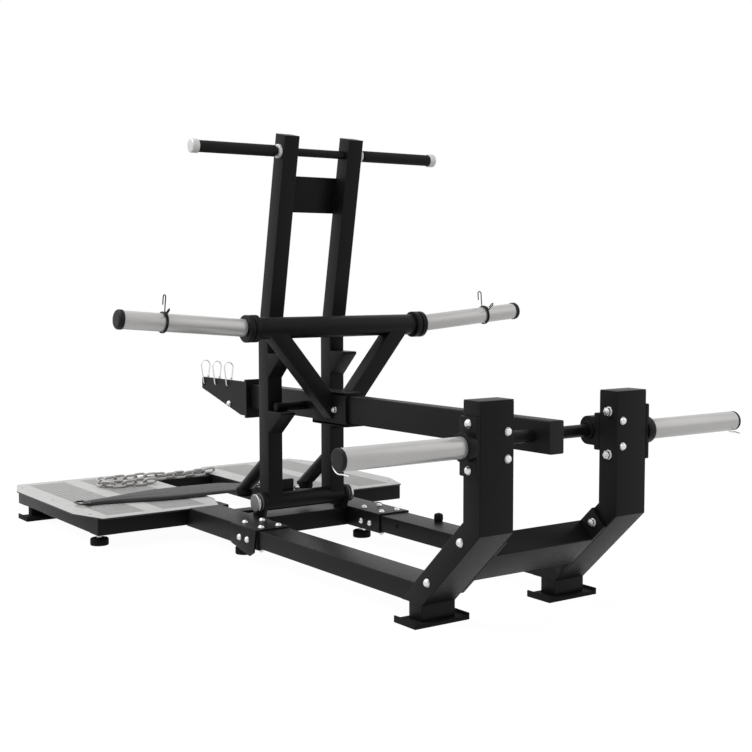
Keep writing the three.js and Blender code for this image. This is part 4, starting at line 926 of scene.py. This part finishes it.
mast = {"span": (86.75, 136.75), "rear": -1147.0, "front": -1204.0, "size": 57.0, "low": 150.0, "bend": 645.0,
        "top": 1236.0, "lean": 0.19, "corner": 3.0}
catch = {"places": ((600.0, 79.0, 74.0), (restBar["catchTop"], 85.0, 70.0)), "sunk": 3.0,
         "corners": (0.5, 0.5, 0.5, 5.0), "rim": 1.2}
stop = {"top": 261.0, "slope": 0.72, "radius": 21.0, "foot": 166.3, "x": 111.75, "rim": 1.2, "inMast": 25.0}
leanLength = hypot(1, mast["lean"])


def leanPoint(height, inward):
    # A point of the leaning part at a height, inward from its rear face
    return mast["rear"] + mast["lean"] * (height - mast["bend"]) - inward * leanLength, height


frontBend = mast["bend"] + mast["size"] * (leanLength - 1) / mast["lean"]
mastPairs = [((mast["rear"], mast["low"]), (mast["front"], mast["low"])),
             ((mast["rear"], mast["bend"]), (mast["front"], frontBend)),
             (leanPoint(mast["top"], 0), leanPoint(mast["top"] + mast["size"] * mast["lean"], mast["size"]))]


def catchPart(top, reach, drop):
    # A wedge under a flat top whose tip reaches rearward
    rear, inside = mast["rear"], mast["rear"] - catch["sunk"]
    outline = [(inside, top), (inside, top - drop), (rear, top - drop), (rear + reach, top)]
    return slab(filleted(outline, catch["corners"], 5), *mast["span"], "X", catch["rim"])


def stopLeg():
    # A round bar down a slope: circle points are carried along the slope as far as the level of its foot
    way = np.array([0, -1, -stop["slope"]]) / hypot(1, stop["slope"])
    a = np.linspace(0, 2 * pi, 48, endpoint=False)[:, None]
    rings = []
    for draw, lift in ((0, None), (0, stop["rim"]), (stop["rim"], 0)):
        across = np.cos(a) * (1, 0, 0) + np.sin(a) * np.array([0, way[2], -way[1]])
        circle = np.array([stop["x"], mast["front"], stop["top"]]) + (stop["radius"] - draw) * across
        run = -stop["inMast"] if lift is None else (stop["foot"] + lift - circle[:, 2:]) / way[2]
        rings.append(circle + run * way)
    return ringStack(np.stack(rings))


makePair("mastUpright", joined(pairTube(mastPairs, mast["span"], "X", mast["corner"]),
                               *[catchPart(*place) for place in catch["places"]], stopLeg()),
         "mast", mastCoat, "mast_upright")

hubTube = {"profile": (((12.8, -140), (27, -140), (27, 140), (12.8, 140)), 1.0),
           "tab": ((20.0, 86.45), (-1206.0, -1194.0), (150.0, 205.0), "Y", 1.2, 3.0)}
tubePart = turned(*hubTube["profile"], "X", (0, hub["y"], hub["z"]), closed=True)
makePiece("mastHub", joined(tubePart, box(*hubTube["tab"])), "mast", black, "mast_hub")

bumper = {"setback": 170.0, "profile": (((0.01, 138), (26, 138), (26, 166), (0.01, 166)), (12, 3))}
bumperAt = (stop["x"], hub["y"] - bumper["setback"], 0)
makePair("bumper", turned(*bumper["profile"], "Z", bumperAt, 48, steps=6), "mast", rubber, "stop_bumper")

bridge = {"top": 1127.0, "high": 106.0, "thick": 5.0, "half": 86.4, "edge": (0.6, 1.0)}
bridgeCorners = ((0, 0), (bridge["high"], 0), (bridge["high"], bridge["thick"]), (0, bridge["thick"]))
bridgeOutline = [leanPoint(bridge["top"] - drop, mast["size"] - back) for drop, back in bridgeCorners]
makePiece("bridgePlate", slab(bridgeOutline, *about(0, bridge["half"]), "X", *bridge["edge"]),
          "mast", black, "mast_cross_plate")

handle = {"z": 1193.0, "inward": 25.0, "radius": 12.0, "half": 408.0, "rim": 0.5,
          "collar": (((12, 137), (20.5, 137), (20.5, 147), (12, 147)), 2.0),
          "knob": (((0.01, 403.3), (20, 403.3), (20, 425.3), (0.01, 425.3)), (1, 5)),
          "grip": (((12.3, 154), (16.9, 154), (16.9, 399), (17.2, 400), (17.2, 403), (12.3, 403)),
                   (1.2, 0.5, 0.2, 0.8))}
handleAxis = (0, leanPoint(handle["z"], handle["inward"])[0], handle["z"])
makePiece("handleBar", rod(handle["radius"], *about(0, handle["half"]), "X", handleAxis, handle["rim"], 48),
          "mast", black, "handle_bar")
makePair("handleKnob", joined(turned(*handle["collar"], "X", handleAxis, closed=True),
                              turned(*handle["knob"], "X", handleAxis, steps=6)),
         "mast", knobFace)
makePair("gripSleeve", turned(*handle["grip"], "X", handleAxis, closed=True),
         "mast", foam, "handle_grip")
print("mast dressed")

# Belt and chain

belt = {"right": 519.0, "length": 614.0, "middle": -1654.0, "width": 158.0, "end": 36.0, "low": 104.6, "thick": 18.0,
        "nearTaper": 320.0, "farTaper": 110.0, "stitch": 0.3, "seam": 3.2, "seamDeep": 3.0, "thinEnd": 0.62}
beltRing = {"wire": 3.0, "width": 60.0, "length": 32.0, "inset": 9.0, "corner": 8.0}


def beltShape(share):
    # The belt's half width: half its end's, and a raised cosine over a slow taper and a sharp one
    near, far = share * belt["length"] / belt["nearTaper"], (1 - share) * belt["length"] / belt["farTaper"]
    taper = np.minimum(np.minimum(near, far), 1)
    return (belt["end"] + (belt["width"] - belt["end"]) * (1 - np.cos(pi * taper)) / 2) / 2


def beltBody():
    # Rings across the belt: a superellipse |y|^4 + |z|^4 = 1 scaled by the half width and half thickness,
    # pressed in along a seam at a share of its width from the rear edge
    share, a = np.linspace(0, 1, 121), np.linspace(0, 2 * pi, 96, endpoint=False)
    c, d = np.cos(a), np.sin(a)
    y, z = np.sign(c) * np.abs(c) ** 0.5, np.sign(d) * np.abs(d) ** 0.5
    half = beltShape(share)[:, None]
    fullness = belt["thinEnd"] + (1 - belt["thinEnd"]) * np.sin(pi * share) ** 0.5
    high = (belt["thick"] / 2 * fullness)[:, None]
    across = half * y[None]
    groove = np.exp(-((half * (1 - 2 * belt["stitch"]) - across) / belt["seam"]) ** 2) * belt["seamDeep"]
    x = np.broadcast_to((belt["right"] - belt["length"] * share)[:, None], across.shape)
    up = belt["low"] + high + (high - groove) * z[None]
    return ringStack(np.stack([x, belt["middle"] + across, up], -1))


def ringLoop(inner, outer):
    # A closed wire round a rectangle with rounded corners
    w = beltRing["width"] / 2
    flat = filleted([(inner, -w), (outer, -w), (outer, w), (inner, w)], beltRing["corner"], 6)
    path = np.stack([flat[:, 0], flat[:, 1] + belt["middle"], 0 * flat[:, 0] + belt["low"] + belt["thick"] / 2], 1)
    return wire(path, beltRing["wire"], 12)


beltPiece = makePiece("hipBelt", beltBody(), "belt", webbing, "hip_belt", angle=60)
nearRing = belt["right"] - beltRing["inset"]
farRing = belt["right"] - belt["length"] + beltRing["inset"] - beltRing["length"]
for side, start in (("right", nearRing), ("left", farRing)):
    makePiece(f"beltRing_{side}", ringLoop(start, start + beltRing["length"]), "belt", darkRing,
              f"belt_ring_{side}", angle=60)

link = {"wire": 4.5, "length": 38.0, "width": 16.0, "slim": 0.35, "roll": radians(45), "pitch": 38.8}
chain = {"left": -128.0, "bendX": 280.0, "radius": 52.0, "row": -2015.0, "back": 130.0, "low": 98.3, "sag": 6.3,
         "sagHalf": 116.0}
linkBend = link["width"] / 2 + link["wire"]


def linkLine():
    # Two half circles joined by straight runs, in (x, y)
    half = link["length"] / 2 - link["width"] / 2
    a = np.linspace(-pi / 2, pi / 2, 9)
    right = np.stack([half + linkBend * np.cos(a), linkBend * np.sin(a), 0 * a], 1)
    return np.concatenate([right, -right])


def turnedLink(tilt, heading, place):
    # The link rolled about its length, then turned to its heading and moved to its place
    points, faces = wire(linkLine(), link["wire"] - link["slim"], 10)
    roll = np.array([[1, 0, 0], [0, cos(tilt), -sin(tilt)], [0, sin(tilt), cos(tilt)]])
    turn = np.array([[cos(heading), -sin(heading), 0], [sin(heading), cos(heading), 0], [0, 0, 1]])
    return points @ (turn @ roll).T + place, faces


def chainPlace(distance):
    # Along a row, round a half turn, and back
    bendX, radius, row = chain["bendX"], chain["radius"], chain["row"]
    past = distance - (bendX - chain["left"])
    if past < 0:
        return bendX + past, row, 0.0
    if past < pi * radius:
        angle = past / radius
        return bendX + radius * sin(angle), row + radius * (1 - cos(angle)), angle
    return bendX - (past - pi * radius), row + 2 * radius, pi


chainLength = chain["bendX"] - chain["left"] + pi * chain["radius"] + chain["back"]
linkHigh = linkBend * cos(link["roll"]) + link["wire"]
links = []
for index in range(int(chainLength // link["pitch"])):
    x, y, heading = chainPlace((index + 0.5) * link["pitch"])
    # The row sags onto the bar between the plates by the fourth power of the way to their edges
    floorZ = chain["low"] + chain["sag"] * min(abs(x) / chain["sagHalf"], 1.0) ** 4
    tilt = link["roll"] if index % 2 == 0 else -link["roll"]
    links.append(turnedLink(tilt, heading, (x, y, floorZ + linkHigh)))
makePiece("beltChain", joined(*links), "chain", chainGrey, "belt_chain", angle=60)
print("belt and chain laid")

# Bolts and nuts: one shape, set out on many axes. Heights and rims near the washer are millimetres, and the rest
# are shares of the head's radius

bolt = {"face": 1.8, "washer": 1.08, "washerLow": 0.05, "washerRim": 0.4, "dome": 0.75, "hex": 0.98, "hexHigh": 0.8,
        "hexFoot": 0.2, "hexRim": 0.14, "stem": 0.52, "stemLow": 1.0, "stemHigh": 1.15, "stemRim": 0.8}


def fastener(kind, size):
    # Washer, then a hexagon or a dome, as turned profiles along Z from the face at 0
    face, wide, hexTop = bolt["face"], size * bolt["washer"], bolt["face"] + size * bolt["hexHigh"]
    low, hexWide = bolt["washerLow"], size * bolt["hex"]
    parts = [turned([(0.01, low), (wide, low), (wide, face), (0.01, face)], bolt["washerRim"], "Z", sides=32)]
    if kind == "dome":
        a = np.linspace(0, pi / 2, 8)
        arc = np.stack([size * np.cos(a) + 0.01, face + size * bolt["dome"] * np.sin(a)], 1)
        parts.append(lathe(np.concatenate([[(0.01, face)], arc]), "Z", sides=32))
    else:
        parts += [turned([(0.01, face), (hexWide, face), (hexWide, hexTop), (0.01, hexTop)],
                         (bolt["hexFoot"], size * bolt["hexRim"]), "Z", sides=6),
                  rod(size * bolt["stem"], bolt["stemLow"], face + size * bolt["stemHigh"], "Z",
                      rim=bolt["stemRim"], sides=24)]
    return joined(*parts)


def setOut(name, rows, body, onLever=False, signs=(1, -1)):
    # All the fasteners of a body in one piece: each row is kind, size, way and the places along X, Y and Z,
    # and both sides have the same
    parts = []
    for sign in signs:
        ways = {"out": (sign, 0, 0), "in": (-sign, 0, 0), "rear": (0, 1, 0), "front": (0, -1, 0), "up": (0, 0, 1),
                "down": (0, 0, -1)}
        parts += [aimed(fastener(kind, size), (sign * x, y, z), ways[way])
                  for kind, size, way, xs, ys, zs in rows for x in xs for y in ys for z in zs]
    makePiece(name, joined(*parts), body, zinc, onLever=onLever)


legBolts = [legPoint(along, depth / 2) for along in (65, 235)]
frameRows = [("dome", 9.5, "out", [horn["root"]], [horn["y"]], [397.5, 502.5]),
             ("nut", 11.0, "in", [163], [horn["y"]], [397.5, 502.5]),
             ("dome", 9.0, "rear", [182], [0], [419, 481]), ("nut", 8.0, "front", [182], [-78], [419, 481]),
             *[("dome", 10.0, "out", [263], [y], [z]) for y, z in legBolts],
             *[("nut", 9.5, "in", [153.7], [y], [z]) for y, z in legBolts],
             ("dome", 9.0, "up", [184, 242], [-1106, -1011], [105]),
             ("nut", 8.5, "down", [184, 242], [-1106, -1011], [45]),
             ("dome", 9.0, "out", [273], [-1083, -1037], [70]), ("dome", 8.5, "in", [158], [-1083, -1037], [70])]
leverRows = [("nut", 9.0, "out", [32], [-840], [-2]), ("dome", 10.0, "out", [5], [hookFace - 169], [-37])]
setOut("frameBolts", frameRows, "frame")
setOut("leverBolts", leverRows, "lever", onLever=True)
setOut("mastBolts", [("dome", 9.0, "rear", [8], [-1198], [176])], "mast", signs=(1,))

knob = {"profile": (((0.01, 99), (12, 99), (14, 108), (13, 122), (0.01, 126)), (1, 3, 6)),
        "place": (-252, -812, 0), "plug": (7, -161, -163.2), "plugAxis": (0, -904, 81), "plugRim": 0.8}
makePiece("railKnobs", joined(turned(*knob["profile"], "Z", knob["place"], 40, steps=6),
                              rod(*knob["plug"], "X", knob["plugAxis"], knob["plugRim"], 32)), "frame", rubber)
print("fasteners set")

# Floor, world and camera

stageLook = {"shadowShare": 0.12, "floor": 0.55, "glow": 1.1, "world": 0.48, "key": 265.0, "fill": 30.0,
             "floorHalf": 30.0, "floorZ": -0.0005}
floorCorners = [(x * stageLook["floorHalf"], y * stageLook["floorHalf"], stageLook["floorZ"])
                for x, y in ((-1, -1), (1, -1), (1, 1), (-1, 1))]
floorMesh = bpy.data.meshes.new("floor")
floorMesh.from_pydata(floorCorners, [], [(0, 1, 2, 3)])
addObject("floor", floorMesh)
floorMaterial = bpy.data.materials.new("paleFloor")
ground = Graph(floorMaterial)
matt = ground.add("ShaderNodeBsdfDiffuse", {}, {"Color": (stageLook["floor"],) * 3 + (1,)})[0]
glow = ground.add("ShaderNodeEmission", {}, {"Strength": stageLook["glow"]})[0]
glowShare = ground.backdropRays() * (1 - stageLook["shadowShare"])
ground.add("ShaderNodeOutputMaterial", {}, ground.add("ShaderNodeMixShader", {}, [glowShare, matt, glow])[:1])
floorMesh.materials.append(floorMaterial)

world = bpy.data.worlds.new("paleWorld")
bpy.context.scene.world = world
sky = Graph(world)
light, white = [sky.add("ShaderNodeBackground", {}, {"Color": (1, 1, 1, 1), "Strength": strength})[0]
                for strength in (stageLook["world"], 1.0)]
sky.add("ShaderNodeOutputWorld", {}, sky.add("ShaderNodeMixShader", {}, [sky.backdropRays(), light, white])[:1])


def areaLamp(name, place, size, power, target=(0, 0, 0.4)):
    # A soft square lamp that looks at a point
    lamp = bpy.data.lights.new(name, "AREA")
    lamp.size, lamp.energy = size, power
    holder = addObject(name, lamp)
    holder.location = place
    holder.rotation_euler = (Vector(target) - Vector(place)).to_track_quat("-Z", "Y").to_euler()


areaLamp("keyLamp", (2.9, -0.9, 4.6), 5.0, stageLook["key"])
areaLamp("fillLamp", (-3.5, 3.0, 3.0), 4.0, stageLook["fill"])

view = {"place": (2041.689, 2143.499, 825.9585), "heading": 145.036, "tilt": 85.554, "roll": -0.1026,
        "focal": 1266.204, "pixels": 752, "sensor": 36.0}
camera = bpy.data.cameras.new("photoCamera")
camera.sensor_width = view["sensor"]
camera.lens = view["focal"] / view["pixels"] * view["sensor"]
cameraObject = addObject("photoCamera", camera)
cameraObject.matrix_world = (Matrix.Translation(siteToFrame([view["place"]])[0].tolist())
                             @ Matrix.Rotation(radians(view["heading"]), 4, "Z")
                             @ Matrix.Rotation(radians(view["tilt"]), 4, "X")
                             @ Matrix.Rotation(radians(view["roll"]), 4, "Z"))
bpy.context.scene.camera = cameraObject
bpy.context.scene.view_settings.view_transform = "Standard"

print("scene ready")
